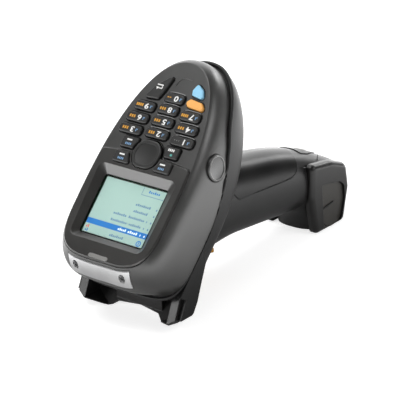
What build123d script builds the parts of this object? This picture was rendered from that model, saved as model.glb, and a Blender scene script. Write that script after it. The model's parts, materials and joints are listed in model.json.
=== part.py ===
from build123d import *
import os
from math import cos, radians, sin

# A pistol-grip data terminal: a long display head on a leaning grip that holds
# the battery.  It stands on the two feet of its nose and on the grip's foot.
#
# Head frame, in which the head is drawn:  X across, Y from the nose to the tail
# along the key face, Z out of the key face, with the face at Z = 0.
# Standing frame:  X across, Y from the head to the grip's foot, Z up from the
# surface, with the head's origin above Y = 0.
# Grip frame:  X across, Y down the grip, Z towards the palm.
# Millimetres throughout.

os.makedirs("parts", exist_ok=True)

# ---- how it stands -----------------------------------------------------------
rest_tilt = 45.1            # key face against the surface, degrees
grip_slope = 10.3           # grip axis against the surface, degrees

# ---- fits --------------------------------------------------------------------
wall = 2.2                  # moulded wall of both housings
seat_gap = 0.15             # between fixed pieces that nest
slide_gap = 0.35            # round a key or button that travels
pin_gap = 0.05              # radial, round a pin that carries a lever
bore_gap = 0.1              # radial, round a screw shank

# ---- head outline: half width, front, back and nose squareness by depth ----------
widest_at = 46.0
tail_power = 2.25           # squareness of the tail half
face_half, face_front, face_back, face_power = 34.4, 6.4, 131.0, 4.1
shoulder_drop = 3.0
shoulder_half, shoulder_front, shoulder_back, shoulder_power = 36.6, 3.6, 134.2, 4.1
brow_drop = 10.0
brow_half, brow_front, brow_back, brow_power = 38.4, -0.4, 136.0, 4.3
belt_drop = 21.0
belt_half, belt_front, belt_back, belt_power = 39.3, 0.6, 137.0, 4.9
skirt_drop = 34.0
skirt_half, skirt_front, skirt_back, skirt_power = 39.2, 3.4, 137.2, 5.8

# ---- lower housing -------------------------------------------------------------
lip_out = 0.4               # how far its edge stands out of the upper housing
flank_drop = 35.0
flank_half, flank_front, flank_back = 38.4, 4.0, 127.8
keel_drop = 41.0
keel_half, keel_front, keel_back = 36.4, 7.0, 117.5
sole_drop = 44.5
sole_half, sole_front, sole_back = 32.0, 9.0, 105.0
seam_nose_drop = 30.2       # parting line under the nose
seam_tail_drop = 15.0       # parting line under the tail
seam_bend_from, seam_bend_to = 44.0, 104.0
seam_ease_nose = (72.0, -28.8)      # points that pull its bend
seam_ease_tail = (93.0, -19.0)
seam_gap = 1.0
seal_depth = 1.0            # seal lies this far inside the skin
seal_width = 3.0

# ---- display -------------------------------------------------------------------
bezel_rise = 1.2
bezel_sink = 0.6            # depth of its rebate in the face
bezel_edge = 0.5            # ring of housing left outside the bezel
bezel_crown = 72.8          # its upper edge on the centre line
bezel_shoulder = 70.3       # its upper edge near the sides
bezel_corner = 3.0
bezel_soften = 0.7
glass_half, glass_low, glass_high = 23.6, 20.6, 56.6
glass_corner = 1.5
glass_sink = 1.7            # top of the window below the face
glass_thick = 1.2
glass_border = 2.2          # window hidden under the bezel
mouth_wide_high, mouth_wide_low = 29.2, 27.2   # half widths of the sunk frame's rim
mouth_high, mouth_low = 62.0, 17.0
mouth_corner = 4.5
tub_wall = 1.0
tub_corner = 3.0
lcd_half, lcd_low, lcd_high = 22.6, 21.4, 55.8
lamp_v = 9.0
lamp_half = 7.2
lamp_wide = 2.3
lamp_rise = 0.3             # lens above the bezel
lamp_deep = 2.4

# ---- keys ------------------------------------------------------------------------
key_rise = 1.5              # above the face
key_travel = 0.6
key_soften = 0.5
flange_thick = 0.8
flange_out = 0.4            # flange past the edge of its hole
flange_drop = 0.1           # below the wall at rest
stem_radius = 1.5
dome_clear = 0.8            # stem to dome at rest
dome_radius = 2.2
dome_high = 0.35
sheet_thick = 0.2
row_pitch = 7.55
row_one_v = 84.9            # outer keys of the row 1-2-3
middle_lift = 0.95          # centre column sits further back
number_high = 5.5
number_round = 2.2
row_out = (19.3, 18.2, 16.8)       # outer key centres of the three rows
row_wide = (16.6, 15.8, 14.6)
zero_u, zero_v, zero_wide = 0.8, 108.2, 14.0
special_round = 1.3
soft_out, soft_high, soft_round = 21.2, 6.8, 1.2
soft_upper_v, soft_lower_v = 77.2, 67.7
soft_rise = 1.1             # lower pair above the bezel
nav_v = 72.7
nav_wide, nav_high, nav_round = 19.4, 17.0, 7.9
nav_gap = 0.6
nav_land = 0.8              # housing between the rocker and the keys that hug it
nav_rise, nav_sink = 2.0, 0.6
nav_ball, nav_dish, nav_border, nav_soften = 60.0, 0.7, 2.2, 0.8
nav_rock = 3.0              # degrees each way
nav_axis_drop = 4.4
nav_post_radius = 2.9
nav_pin_radius = 0.6
ring_in, ring_out, ring_thick = 4.0, 5.6, 1.8
ear_in, ear_out, ear_half = 6.2, 7.8, 1.5
cradle_in, cradle_out, cradle_thick = 5.9, 8.2, 0.6

# ---- boards and screws -----------------------------------------------------------
board_drop = 6.9            # top of the key board below the face
board_thick = 1.2
board_margin = 1.6          # board edge to the inner wall
main_drop = 15.0            # top of the main board below the face
main_thick = 1.6
main_back = 104.0
stack_front_u, stack_front_v = 30.0, 22.0
stack_back_u, stack_back_v = 27.6, 76.0
post_radius = 2.3
screw_radius = 1.1
screw_head_radius, screw_head_high = 2.0, 1.4
screw_head_sink = 0.4       # head below the surface round it
screw_bite = 3.2            # thread held in a post
grip_screw_u = 13.0
grip_screw_front_v, grip_screw_back_v = 48.0, 80.0
grip_screw_bite = 8.0

# ---- nose ---------------------------------------------------------------------
plate_half = 23.0
plate_top, plate_low = 1.3, 9.9
plate_thick, plate_proud = 1.0, 0.4
plate_screw_u, plate_screw_drop = 17.5, 4.6
plate_screw_head, plate_screw_long = 1.9, 4.6
plate_screw_high, plate_screw_sink = 1.2, 1.9      # head, and its seat behind the plate's front
bumper_half = 36.6
bumper_back = 9.8
foot_tip_v, foot_tip_drop, foot_tip_u = -7.2, 39.1, 32.0
foot_toe_v, foot_toe_u = -5.3, 20.4
foot_rest_drop = 47.85      # where the front of a foot meets the surface
foot_toe_drop = foot_rest_drop + 1.5            # before the surface trims it
foot_slant = (0.38, -0.656, -0.65)              # outward normal of the slanted front of a foot
foot_slant_out = 0.9        # slant outside the tip
foot_edge_v = -4.2          # front of a foot at its outer edge
foot_heel_v, foot_heel_drop = 4.2, 47.1
strip_back_drop = 33.4      # flat strip along a foot, where it meets the head
strip_wide = 5.4
arch_u, arch_v = 15.4, -0.9
lip_v, lip_back_v, lip_back_drop = 0.9, 7.5, 42.0
lip_half = 17.5
mouth_floor = 1.5
mouth_roof = 1.8
window_wide_half, window_top, window_low = 28.6, 32.6, 44.0
window_thick = 1.5
window_border = 1.6
nose_back = 14.0            # the nose is solid this far back
cheek_out = 39.4
cheek_round = 3.0           # round the heel of a foot
keel_end_v = 19.5

# ---- side caps ----------------------------------------------------------------
cap_u, cap_v, cap_drop = 36.9, 79.8, 14.0
cap_radius = 7.6
cap_ring = 1.3
cap_proud, cap_dish, cap_seat = 0.8, 0.7, 1.2
cap_ball, cap_soften = 40.0, 0.4
cap_turn = 7.5              # its axis leans to the tail, degrees

# ---- grip -----------------------------------------------------------------------
grip_y, grip_z = 100.0, 43.0       # grip frame's origin in the standing frame
grip_power = 2.5
grip_start, grip_stop, grip_step = -50.0, 112.0, 9.0
palm_reach = 24.4           # palm side of the axis, at its fullest
palm_crest_s = 27.0         # where the palm side starts to fall away
palm_fall, palm_power = 0.00101, 2.2
palm_rise = 0.05            # growth towards the head, per mm
finger_reach = 16.4         # finger side of the axis, just above the foot
finger_slope = 0.075        # growth towards the head, per mm
web_from_s, web_to_s, web_out = 13.0, -42.0, 8.5    # swelling towards the trigger
toe_from_s, toe_flare = 64.5, 0.088                 # flare to the surface
toe_limit = 44.0
side_reach, side_slope = 17.2, 0.02
pad_thick, pad_proud = 1.4, 0.3
pad_corner = 4.0

# ---- trigger ----------------------------------------------------------------------
trigger_half = 6.5
trigger_side = 0.5          # clearance to the slot's sides
trigger_pin_s, trigger_pin_t = -33.0, 21.0
trigger_pin_radius, trigger_pin_half = 1.5, 13.0
trigger_hub = 4.2
trigger_roof = 1.6          # slot above the hub
trigger_cheek = 2.4         # hub is this much narrower at each side
trigger_tip_s, trigger_tip_t = -2.0, 29.0
trigger_crown_s, trigger_crown_t = -38.5, 33.5
trigger_dish_t = 29.3
trigger_back_t = 22.4
trigger_pull = 8.0          # degrees
slot_end_s, slot_floor_t = 1.5, 15.6
spring_wire, spring_turns = 0.45, 3
switch_long, switch_half = 10.0, 3.2

# ---- battery and foot ----------------------------------------------------------------
battery_half, battery_palm, battery_finger = 12.0, 9.0, 12.0
battery_start = 16.0
battery_gap = 0.5
battery_round = 2.0
battery_travel = 80.0
end_y = 166.5               # end of the grip
end_gap = 0.3
split_low_y, split_low_z = 155.5, 14.0         # where the foot starts under the grip
split_high_z = 24.0
foot_back_y = 199.0
foot_clear = 0.5            # core above the surface
foot_end_line = ((201.5, 6.0), (203.6, 18.0), (204.6, 30.0), (203.6, 34.0))    # back of the foot, y and z
core_half = 15.3
block_out = 20.7
block_round = 3.2
panel_sink = 1.6
vee_half, vee_start, vee_tip = 15.0, 78.7, 98.5
latch_from, latch_bend, latch_to = 70.2, 77.0, 91.5
latch_half, latch_tip_half = 8.2, 2.6
latch_proud, latch_travel = 0.5, 1.6
latch_bottom = 13.6
catch_half, catch_from, catch_to, catch_low = 2.0, 82.2, 85.8, 7.6
groove_deep = 3.6
latch_spring_s, latch_spring_radius = 74.5, 1.8
contact_pitch, contact_half, contact_thick = 6.0, 1.5, 0.8

# ---- frames -----------------------------------------------------------------------
face_rise = foot_rest_drop * cos(radians(rest_tilt)) - foot_toe_v * sin(radians(rest_tilt))
HEAD = Location((0, 0, face_rise), (rest_tilt, 0, 0))
GRIP = Location((0, grip_y, grip_z), (-grip_slope, 0, 0))
FAR = 200.0


def round_point(turn, reaches, power):
    """Point of a squared circle; reaches are its half sizes across and along."""
    across, along = sin(turn), cos(turn)
    size = (abs(across) ** power + abs(along) ** power) ** (-1 / power)
    return reaches[0] * size * across, reaches[1] * size * along


def outline(drop, half, front, back, power, inset=0.0):
    """Closed egg-shaped wire at a depth below the face, drawn inwards by inset."""
    half, front, back = half - inset, front + inset, back - inset
    points = []
    for step in range(24):
        turn = radians(15 * step)
        nose = cos(turn) > 0
        reach = widest_at - front if nose else back - widest_at
        across, along = round_point(turn, (half, reach), power if nose else tail_power)
        points.append((across, widest_at - along, -drop))
    return Wire([Spline(*points, periodic=True)])


def upper_form(inset=0.0, top=0.0):
    """Outer form of the upper housing, or that form drawn in by inset."""
    return Solid.make_loft([
        outline(top, face_half, face_front, face_back, face_power, inset),
        outline(shoulder_drop + top, shoulder_half, shoulder_front, shoulder_back, shoulder_power, inset),
        outline(brow_drop + top, brow_half, brow_front, brow_back, brow_power, inset),
        outline(belt_drop + top, belt_half, belt_front, belt_back, belt_power, inset),
        outline(skirt_drop + top, skirt_half, skirt_front, skirt_back, skirt_power, inset),
    ])


def lower_form(inset=0.0, floor=0.0):
    """Outer form of the lower housing, or that form drawn in by inset."""
    out = lip_out - inset
    rim_drop = seam_tail_drop - 4.0
    waist_drop = (belt_drop + flank_drop) / 2 - 2.0
    return Solid.make_loft([
        outline(rim_drop, belt_half + out, belt_front - out, belt_back + out, belt_power),
        outline(waist_drop, belt_half + out, belt_front + 1 - out, belt_back + out - 1, skirt_power),
        outline(flank_drop, flank_half + out, flank_front - out, flank_back + out, skirt_power),
        outline(keel_drop - floor / 2, keel_half + out, keel_front - out, keel_back + out, skirt_power),
        outline(sole_drop - floor, sole_half + out, sole_front - out, sole_back + out, belt_power),
    ])


def side_slab(edges, half):
    """Closed outline in the Y-Z plane, made solid to both sides of X = 0."""
    return extrude(Plane.YZ * make_face(edges), amount=half, both=True)


def polygon_edges(points):
    """Straight edges round a list of points."""
    return Polyline(*points, close=True).edges()


def block(low, high):
    """Box from its lowest to its highest corner."""
    size = [b - a for a, b in zip(low, high)]
    middle = [(a + b) / 2 for a, b in zip(low, high)]
    return Pos(*middle) * Box(*size)


def between(sketch, low, high):
    """Flat sketch made solid from one height to another."""
    return Pos(0, 0, low) * extrude(sketch, amount=high - low)


def rod(at, radius, low, high):
    """Upright round bar at a point of the plan."""
    return Pos(at[0], at[1], (low + high) / 2) * Cylinder(radius, high - low)


def rod_x(y, z, radius, low, high):
    """Round bar along X."""
    return Pos((low + high) / 2, y, z) * Rot(0, 90, 0) * Cylinder(radius, high - low)


def rod_y(x, z, radius, low, high):
    """Round bar along Y."""
    return Pos(x, (low + high) / 2, z) * Rot(90, 0, 0) * Cylinder(radius, high - low)


def seam_region(above, shift):
    """Block on one side of the parting line between the two housings."""
    nose, tail = shift - seam_nose_drop, shift - seam_tail_drop
    ease_nose = (seam_ease_nose[0], seam_ease_nose[1] + shift)
    ease_tail = (seam_ease_tail[0], seam_ease_tail[1] + shift)
    reach = FAR if above else -FAR
    return side_slab([
        Line((-FAR, nose), (seam_bend_from, nose)),
        Bezier((seam_bend_from, nose), ease_nose, ease_tail, (seam_bend_to, tail)),
        Line((seam_bend_to, tail), (FAR, tail)),
        Line((FAR, tail), (FAR, reach)),
        Line((FAR, reach), (-FAR, reach)),
        Line((-FAR, reach), (-FAR, nose)),
    ], FAR)


# ---- plan outlines on the face -------------------------------------------------------
def bezel_plan(shrink=0.0):
    """Outline of the display bezel."""
    inset = bezel_edge + shrink
    egg = make_face(outline(0, face_half, face_front, face_back, face_power, inset))
    crown, side = bezel_crown - shrink, bezel_shoulder - shrink
    arch = ThreePointArc((-face_half, side), (0, crown), (face_half, side))
    low = Polyline((face_half, side), (face_half, 0), (-face_half, 0), (-face_half, side))
    plan = egg & make_face([arch, low])
    return fillet(plan.vertices().filter_by(lambda p: p.Y > side - 5), bezel_corner)


def trapezoid(half_low, half_high, low, high, corner):
    """Four-sided outline that is wider at one end, with round corners."""
    points = [(-half_low, low), (half_low, low), (half_high, high), (-half_high, high)]
    shape = make_face(Polyline(*points, close=True))
    return fillet(shape.vertices(), corner)


def glass_plan(grow=0.0):
    """Outline of the visible glass, or of what lies round it."""
    corner = glass_corner + grow
    return trapezoid(glass_half + grow, glass_half + grow, glass_low - grow, glass_high + grow, corner)


def nav_plan(grow=0.0):
    """Outline of the navigation rocker, or of the hole round it."""
    shape = RectangleRounded(nav_wide + 2 * grow, nav_high + 2 * grow, nav_round + grow)
    return Pos(0, nav_v) * shape


def soft_plan(side, v):
    """Outline of a function key that hugs the rocker."""
    shape = Pos(side * soft_out / 2, v) * Rectangle(soft_out, soft_high)
    shape -= nav_plan(nav_gap + nav_land + slide_gap)
    return fillet(shape.vertices(), soft_round)


def number_plan(column, row):
    """Outline of a number key; column -1, 0 or 1 and row 0 to 2 from the display."""
    u = column * row_out[row]
    v = row_one_v + row * row_pitch + (0 if column else middle_lift)
    return Pos(u, v) * RectangleRounded(row_wide[row], number_high, number_round)


def cornered_plan(points):
    """Outline of a key drawn by its corners."""
    shape = make_face(Polyline(*points, close=True))
    return fillet(shape.vertices(), special_round)


def key_plans():
    """Every key by node name: its outline and the height of its top."""
    zero = Pos(zero_u, zero_v) * RectangleRounded(zero_wide, number_high, number_round)
    plans = {"key_0": (zero, key_rise)}
    for digit in range(1, 10):
        row, place = divmod(digit - 1, 3)
        plans[f"key_{digit}"] = (number_plan(1 - place, row), key_rise)
    plans["key_enter"] = (cornered_plan([
        (-5.6, 121.0), (-9.4, 119.2), (-15.9, 113.2), (-20.6, 105.0), (-10.2, 105.6), (-8.0, 111.0),
    ]), key_rise)
    plans["key_blue"] = (cornered_plan([
        (12.3, 119.8), (10.4, 115.4), (11.4, 112.4), (20.2, 111.2), (17.4, 116.6),
    ]), key_rise)
    plans["key_orange"] = (cornered_plan([
        (9.6, 107.6), (12.0, 110.2), (20.6, 109.2), (23.1, 106.4), (22.7, 104.5), (11.8, 105.3),
    ]), key_rise)
    lower_top = bezel_rise + soft_rise
    plans["key_soft_upper_left"] = (soft_plan(-1, soft_upper_v), key_rise)
    plans["key_soft_upper_right"] = (soft_plan(1, soft_upper_v), key_rise)
    plans["key_soft_lower_left"] = (soft_plan(-1, soft_lower_v), lower_top)
    plans["key_soft_lower_right"] = (soft_plan(1, soft_lower_v), lower_top)
    return plans


def stack_places():
    """Plan positions of the screws that hold the head together."""
    front = [(-stack_front_u, stack_front_v), (stack_front_u, stack_front_v)]
    back = [(-stack_back_u, stack_back_v), (stack_back_u, stack_back_v)]
    return front + back


def grip_screw_places():
    """Plan positions of the screws that hold the grip to the head."""
    return [(side * grip_screw_u, v) for side in (-1, 1) for v in (grip_screw_front_v, grip_screw_back_v)]


# ---- head pieces, in the head frame -----------------------------------------------------
def cap_location(side):
    """Frame of a side cap: Z out of the head's flank."""
    return Location((side * cap_u, cap_v, -cap_drop), (0, 0, side * cap_turn)) * Rot(0, side * 90, 0)


def make_upper_housing(plans):
    core = upper_form(wall / 2, wall / 2)
    bosses = [rod(place, post_radius, -board_drop, -wall / 2) for place in stack_places()]
    for side in (-1, 1):
        u = side * plate_screw_u
        bosses.append(rod_y(u, -plate_screw_drop, post_radius, 0, plate_seat_v() + plate_screw_long + 1.0))
    shell = (upper_form() & seam_region(True, seam_gap / 2)) - upper_form(wall, wall)
    shell += [boss & core for boss in bosses]
    cuts = [
        between(bezel_plan(-seat_gap), -bezel_sink, 3),
        between(tub_plan(seat_gap), -wall - 1, 3),
        between(nav_plan(nav_gap), -wall - 2, 3),
        between(lamp_plan(seat_gap), -wall - 2, 3),
    ]
    cuts += [between(offset(sketch, slide_gap), -wall - 2, 3) for sketch, _ in plans.values()]
    pilot_end = screw_bite + bore_gap - board_drop
    cuts += [rod(place, screw_radius + bore_gap, -board_drop - 1, pilot_end) for place in stack_places()]
    for side in (-1, 1):
        u = side * plate_screw_u
        cuts.append(cap_location(side) * rod((0, 0), cap_radius + seat_gap, -cap_seat, 8))
        bore_end = plate_seat_v() + plate_screw_long + 0.3
        cuts.append(rod_y(u, -plate_screw_drop, screw_radius + bore_gap, -6, bore_end))
        cuts.append(rod_y(u, -plate_screw_drop, plate_screw_head + seat_gap, -6, plate_seat_v()))
    cuts.append(nameplate_band(seat_gap) - upper_form(plate_thick - plate_proud + seat_gap))
    return shell - cuts


def nameplate_band(grow=0.0):
    """Block across the nose that the nameplate is cut from."""
    half = plate_half + grow
    return block((-half, -FAR / 10, -plate_low - grow), (half, 15, -plate_top + grow))


def make_nameplate():
    plate = (nameplate_band() & upper_form(-plate_proud)) - upper_form(plate_thick - plate_proud)
    for side in (-1, 1):
        hole = plate_screw_head + 2 * seat_gap
        plate -= rod_y(side * plate_screw_u, -plate_screw_drop, hole, -FAR / 10, 15)
    return plate


def make_nameplate_screws():
    seat = plate_seat_v()
    screws = []
    for side in (-1, 1):
        u = side * plate_screw_u
        head = rod_y(u, -plate_screw_drop, plate_screw_head, seat - plate_screw_high, seat)
        floor = seat - plate_screw_high / 2
        socket = rod_y(u, -plate_screw_drop, screw_radius * 0.8, seat - plate_screw_high, floor)
        shank = rod_y(u, -plate_screw_drop, screw_radius, seat, seat + plate_screw_long)
        screws.append(head - socket + shank)
    return screws


def plate_seat_v():
    """How far back the heads of the nameplate's screws rest."""
    share = (plate_screw_drop - shoulder_drop) / (brow_drop - shoulder_drop)
    front = shoulder_front + (brow_front - shoulder_front) * share - plate_proud
    return front + plate_screw_sink


def make_lower_housing():
    seam_low = -seam_nose_drop - seam_gap / 2
    cavity = lower_form(wall, wall) & block((-FAR, nose_back, -FAR), (FAR, FAR, FAR))
    skirt = nose_skirt() & block((-FAR, -FAR, -FAR), (FAR, FAR, seam_low))
    shell = ((lower_form() & seam_region(False, -seam_gap / 2)) + skirt) - cavity
    core = lower_form(wall / 2, wall / 2)
    column_top = -main_drop - main_thick
    shell += [rod(place, post_radius, wall / 2 - sole_drop, column_top) & core for place in stack_places()]
    side = bumper_half + seat_gap
    half = window_wide_half
    opening = half - window_border
    cuts = [
        block((-side, -FAR, -FAR), (side, bumper_back + seat_gap, seam_low - mouth_roof)),
        block(
            (-opening, 0, -window_low + window_border),
            (opening, nose_back + 1, -window_top - window_border)),
        block(
            (-half - seat_gap, 0, -window_low - seat_gap),
            (half + seat_gap, bumper_back + seat_gap + window_thick, -window_top + seat_gap)),
    ]
    head_top = screw_head_high + screw_head_sink - sole_drop
    for place in stack_places():
        cuts.append(rod(place, screw_radius + bore_gap, -60, 0))
        cuts.append(rod(place, screw_head_radius + bore_gap, -60, head_top))
    cuts += [rod(place, screw_radius + bore_gap, -60, -sole_drop + wall + 1) for place in grip_screw_places()]
    return shell - cuts


def nose_skirt():
    """Deeper skin of the lower housing round the nose and its cheeks."""
    face = make_face(Polyline(
        (6.5, -26.0), (8.5, -36.5), (-3.0, -39.9), (foot_heel_v, -foot_heel_drop),
        (12.0, -45.6), (23.0, -41.3), (33.0, -37.7), (40.0, -26.0), close=True))
    heel = face.vertices().filter_by(lambda p: p.X > 3 and p.Y < -40)
    cheek = extrude(Plane.YZ * fillet(heel, cheek_round), amount=cheek_out, both=True)
    inner = block((-bumper_half - seat_gap, -FAR, -FAR), (bumper_half + seat_gap, FAR, FAR))
    keel = side_slab(polygon_edges([
        (bumper_back, -40.0), (bumper_back, -foot_toe_drop + 0.6),
        (keel_end_v, -sole_drop), (keel_end_v, -40.0),
    ]), bumper_half - 2)
    return (cheek - inner) + keel


def make_housing_seal():
    ring = lower_form(seal_depth + lip_out) & seam_region(False, seam_gap / 2)
    ring &= seam_region(True, -seam_gap / 2)
    return ring - lower_form(seal_depth + lip_out + seal_width)


def tub_plan(grow=0.0):
    """Outline of the part of the bezel that reaches down to the window."""
    share = (bezel_sink + bezel_rise) / (glass_sink + bezel_rise)
    rims = (mouth_wide_low, mouth_wide_high, mouth_low, mouth_high)
    lows = (glass_half, glass_half, glass_low, glass_high)
    wide_low, wide_high, low, high = [rim + (base - rim) * share for rim, base in zip(rims, lows)]
    return trapezoid(
        wide_low + tub_wall + grow, wide_high + tub_wall + grow, low - tub_wall - grow,
        high + tub_wall + grow, tub_corner)


def lamp_plan(grow=0.0):
    """Outline of the indicator lamp."""
    return Pos(0, lamp_v) * SlotOverall(2 * (lamp_half + grow), lamp_wide + 2 * grow)


def make_bezel(plans):
    plate = between(bezel_plan(), -bezel_sink, bezel_rise)
    plate = chamfer(plate.faces().sort_by(Axis.Z)[-1].edges(), bezel_soften)
    plate += between(tub_plan(), -glass_sink, -bezel_sink)
    mouth = trapezoid(mouth_wide_low, mouth_wide_high, mouth_low, mouth_high, mouth_corner)
    rim = Pos(0, 0, bezel_rise) * mouth
    base = Pos(0, 0, -glass_sink) * glass_plan()
    plate -= loft([rim.faces()[0], base.faces()[0]])
    plate -= between(nav_plan(nav_gap), -FAR, FAR)
    plate -= between(lamp_plan(seat_gap), -FAR, FAR)
    for name, (sketch, _) in plans.items():
        if name.startswith("key_soft"):
            plate -= between(offset(sketch, slide_gap), -FAR, FAR)
    return plate


def make_display_window():
    return between(glass_plan(glass_border), -glass_sink - glass_thick, -glass_sink)


def make_lcd():
    top = glass_sink + glass_thick
    body = block((-lcd_half, lcd_low, -board_drop), (lcd_half, lcd_high, -top))
    return chamfer(body.edges().filter_by(Axis.Z), 1.0)


def make_lamp():
    lens = between(lamp_plan(), -lamp_deep, bezel_rise + lamp_rise)
    return fillet(lens.faces().sort_by(Axis.Z)[-1].edges(), 0.25)


def make_key(sketch, top):
    flange_top = -wall - flange_drop
    cap = between(sketch, flange_top, top)
    cap = chamfer(cap.faces().sort_by(Axis.Z)[-1].edges(), key_soften)
    flange = between(offset(sketch, slide_gap + flange_out), flange_top - flange_thick, flange_top)
    middle = sketch.center(CenterOf.MASS)
    stem_low = -board_drop + sheet_thick + dome_high + dome_clear
    return cap + flange + rod((middle.X, middle.Y), stem_radius, stem_low, flange_top - flange_thick)


def make_nav_pad():
    pad = between(nav_plan(), -nav_sink, nav_rise)
    pad = fillet(pad.faces().sort_by(Axis.Z)[-1].edges(), nav_soften)
    crown = Pos(0, nav_v, nav_rise + nav_ball - nav_dish) * Sphere(nav_ball)
    pad -= crown & between(nav_plan(-nav_border), 0, 5)
    pad += rod((0, nav_v), nav_post_radius, -nav_axis_drop - 0.8, -nav_sink)
    low, high = nav_v - ring_out + 0.3, nav_v + ring_out - 0.3
    return pad + rod_y(0, -nav_axis_drop, nav_pin_radius, low, high)


def make_nav_gimbal():
    low, high = -nav_axis_drop - ring_thick / 2, -nav_axis_drop + ring_thick / 2
    ring = rod((0, nav_v), ring_out, low, high) - rod((0, nav_v), ring_in, low, high)
    ring -= rod_y(0, -nav_axis_drop, nav_pin_radius + pin_gap, nav_v - 9, nav_v + 9)
    pins = rod_x(nav_v, -nav_axis_drop, nav_pin_radius, -ear_out + 0.3, -ring_in - 0.5)
    pins += rod_x(nav_v, -nav_axis_drop, nav_pin_radius, ring_in + 0.5, ear_out - 0.3)
    return ring + pins


def make_nav_cradle():
    floor = -board_drop + sheet_thick
    base = rod((0, nav_v), cradle_out, floor, floor + cradle_thick) - rod((0, nav_v), cradle_in, floor, 0)
    for side in (-1, 1):
        u = sorted((side * ear_in, side * ear_out))
        base += block((u[0], nav_v - ear_half, floor), (u[1], nav_v + ear_half, -nav_axis_drop + 1.2))
    return base - rod_x(nav_v, -nav_axis_drop, nav_pin_radius + pin_gap, -20, 20)


def board_plan(drop_half, drop_front, drop_back, back_limit):
    """Outline of a circuit board that follows the inner wall."""
    inset = wall + board_margin
    egg = make_face(outline(0, drop_half, drop_front, drop_back, shoulder_power, inset))
    return egg & make_face(Polyline((-60, 12), (60, 12), (60, back_limit), (-60, back_limit), close=True))


def make_key_board():
    plan = board_plan(shoulder_half, shoulder_front, shoulder_back, 123.0)
    board = between(plan, -board_drop - board_thick, -board_drop)
    for place in stack_places():
        board -= rod(place, screw_radius + bore_gap, -FAR, FAR)
    return board


def make_dome_sheet(plans):
    low = -board_drop
    plan = board_plan(shoulder_half - 2, shoulder_front, shoulder_back - 2, 122.0)
    tail = make_face(Polyline((-60, 60), (60, 60), (60, 130), (-60, 130), close=True))
    sheet = between(plan & tail, low, low + sheet_thick)
    for place in stack_places():
        sheet -= rod(place, post_radius + 0.3, -FAR, FAR)
    for sketch, _ in plans.values():
        middle = sketch.center(CenterOf.MASS)
        sheet += rod((middle.X, middle.Y), dome_radius, low, low + sheet_thick + dome_high)
    return sheet


def make_main_board():
    plan = board_plan(brow_half, brow_front + 8, brow_back, main_back)
    board = between(plan, -main_drop - main_thick, -main_drop)
    board += block((-14, 40, -main_drop), (14, 62, -main_drop + 2.0))
    board += block((-9, 78, -main_drop), (9, 92, -main_drop + 1.6))
    for place in stack_places():
        board -= rod(place, screw_radius + bore_gap, -FAR, FAR)
    return board


def make_board_spacers():
    spacers = []
    for place in stack_places():
        tube = rod(place, post_radius, -main_drop, -board_drop - board_thick)
        spacers.append(tube - rod(place, screw_radius + bore_gap, -FAR, FAR))
    return spacers


def make_housing_screws():
    screws = []
    head_top = screw_head_high + screw_head_sink - sole_drop
    for place in stack_places():
        head = rod(place, screw_head_radius, head_top - screw_head_high, head_top)
        socket = rod(place, screw_radius * 0.8, head_top - screw_head_high, head_top - screw_head_high + 0.8)
        screws.append(head - socket + rod(place, screw_radius, head_top, -board_drop + screw_bite))
    return screws


def make_grip_screws():
    screws = []
    floor = -sole_drop + wall
    for place in grip_screw_places():
        head = rod(place, screw_head_radius, floor, floor + screw_head_high)
        screws.append(head + rod(place, screw_radius, -sole_drop - grip_screw_bite, floor))
    return screws


def make_side_cap(side):
    body = rod((0, 0), cap_radius, -cap_seat, cap_proud)
    body = fillet(body.faces().sort_by(Axis.Z)[-1].edges(), cap_soften)
    rim = cap_radius - cap_ring
    bowl = Pos(0, 0, cap_proud - cap_dish + cap_ball) * Sphere(cap_ball)
    body -= bowl & rod((0, 0), rim, cap_proud - cap_dish, cap_proud + 1)
    return cap_location(side) * body


def make_nose_bumper():
    top = -31.0
    plan = make_face(Polyline(
        (-bumper_half, foot_edge_v), (-foot_tip_u, foot_tip_v), (-foot_toe_u, foot_toe_v), (-arch_u, arch_v),
        (0, lip_v), (arch_u, arch_v), (foot_toe_u, foot_toe_v), (foot_tip_u, foot_tip_v),
        (bumper_half, foot_edge_v), (bumper_half, bumper_back), (-bumper_half, bumper_back), close=True))
    body = between(plan, -foot_toe_drop, top)
    slope = side_slab(polygon_edges([
        (bumper_back, -strip_back_drop), (foot_tip_v, -foot_tip_drop),
        (foot_tip_v, -FAR), (bumper_back, -FAR),
    ]), FAR)
    body &= slope
    body -= foot_slants(foot_slant_out)
    body &= HEAD.inverse() * block((-FAR, -FAR, 0), (FAR, FAR, FAR))
    inner = bumper_half - strip_wide
    recess = block((-inner, -FAR, -foot_toe_drop + mouth_floor), (inner, FAR, FAR))
    body -= recess - foot_slants(foot_slant_out - mouth_floor)
    lip = side_slab(polygon_edges([
        (lip_v, -foot_toe_drop), (lip_v, -foot_toe_drop + mouth_floor), (lip_back_v, -lip_back_drop),
        (bumper_back, -lip_back_drop), (bumper_back, -foot_toe_drop),
    ]), lip_half)
    return body + lip


def foot_slants(out):
    """Space in front of the slanted faces of both feet, drawn outwards by a distance."""
    space = []
    for side in (-1, 1):
        across, along, up = foot_slant
        normal = Vector(side * across, along, up)
        tip = Vector(side * foot_tip_u, foot_tip_v, -foot_tip_drop)
        corner = Plane(origin=tip + normal * out, z_dir=normal)
        space.append(extrude(corner * Rectangle(FAR, FAR), amount=FAR / 2))
    return space[0] + space[1]


def make_scan_window():
    low = bumper_back + seat_gap
    pane = block((-window_wide_half, low, -window_low), (window_wide_half, low + window_thick, -window_top))
    return fillet(pane.edges().filter_by(Axis.Y), 2.0)


def make_engine_bracket():
    floor = -sole_drop + wall
    plate = block((-16, nose_back + 0.6, floor), (16, 34, floor + 1.2))
    wall_plate = block((-16, 32.8, floor), (16, 34, floor + 11))
    return plate + wall_plate


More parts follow.
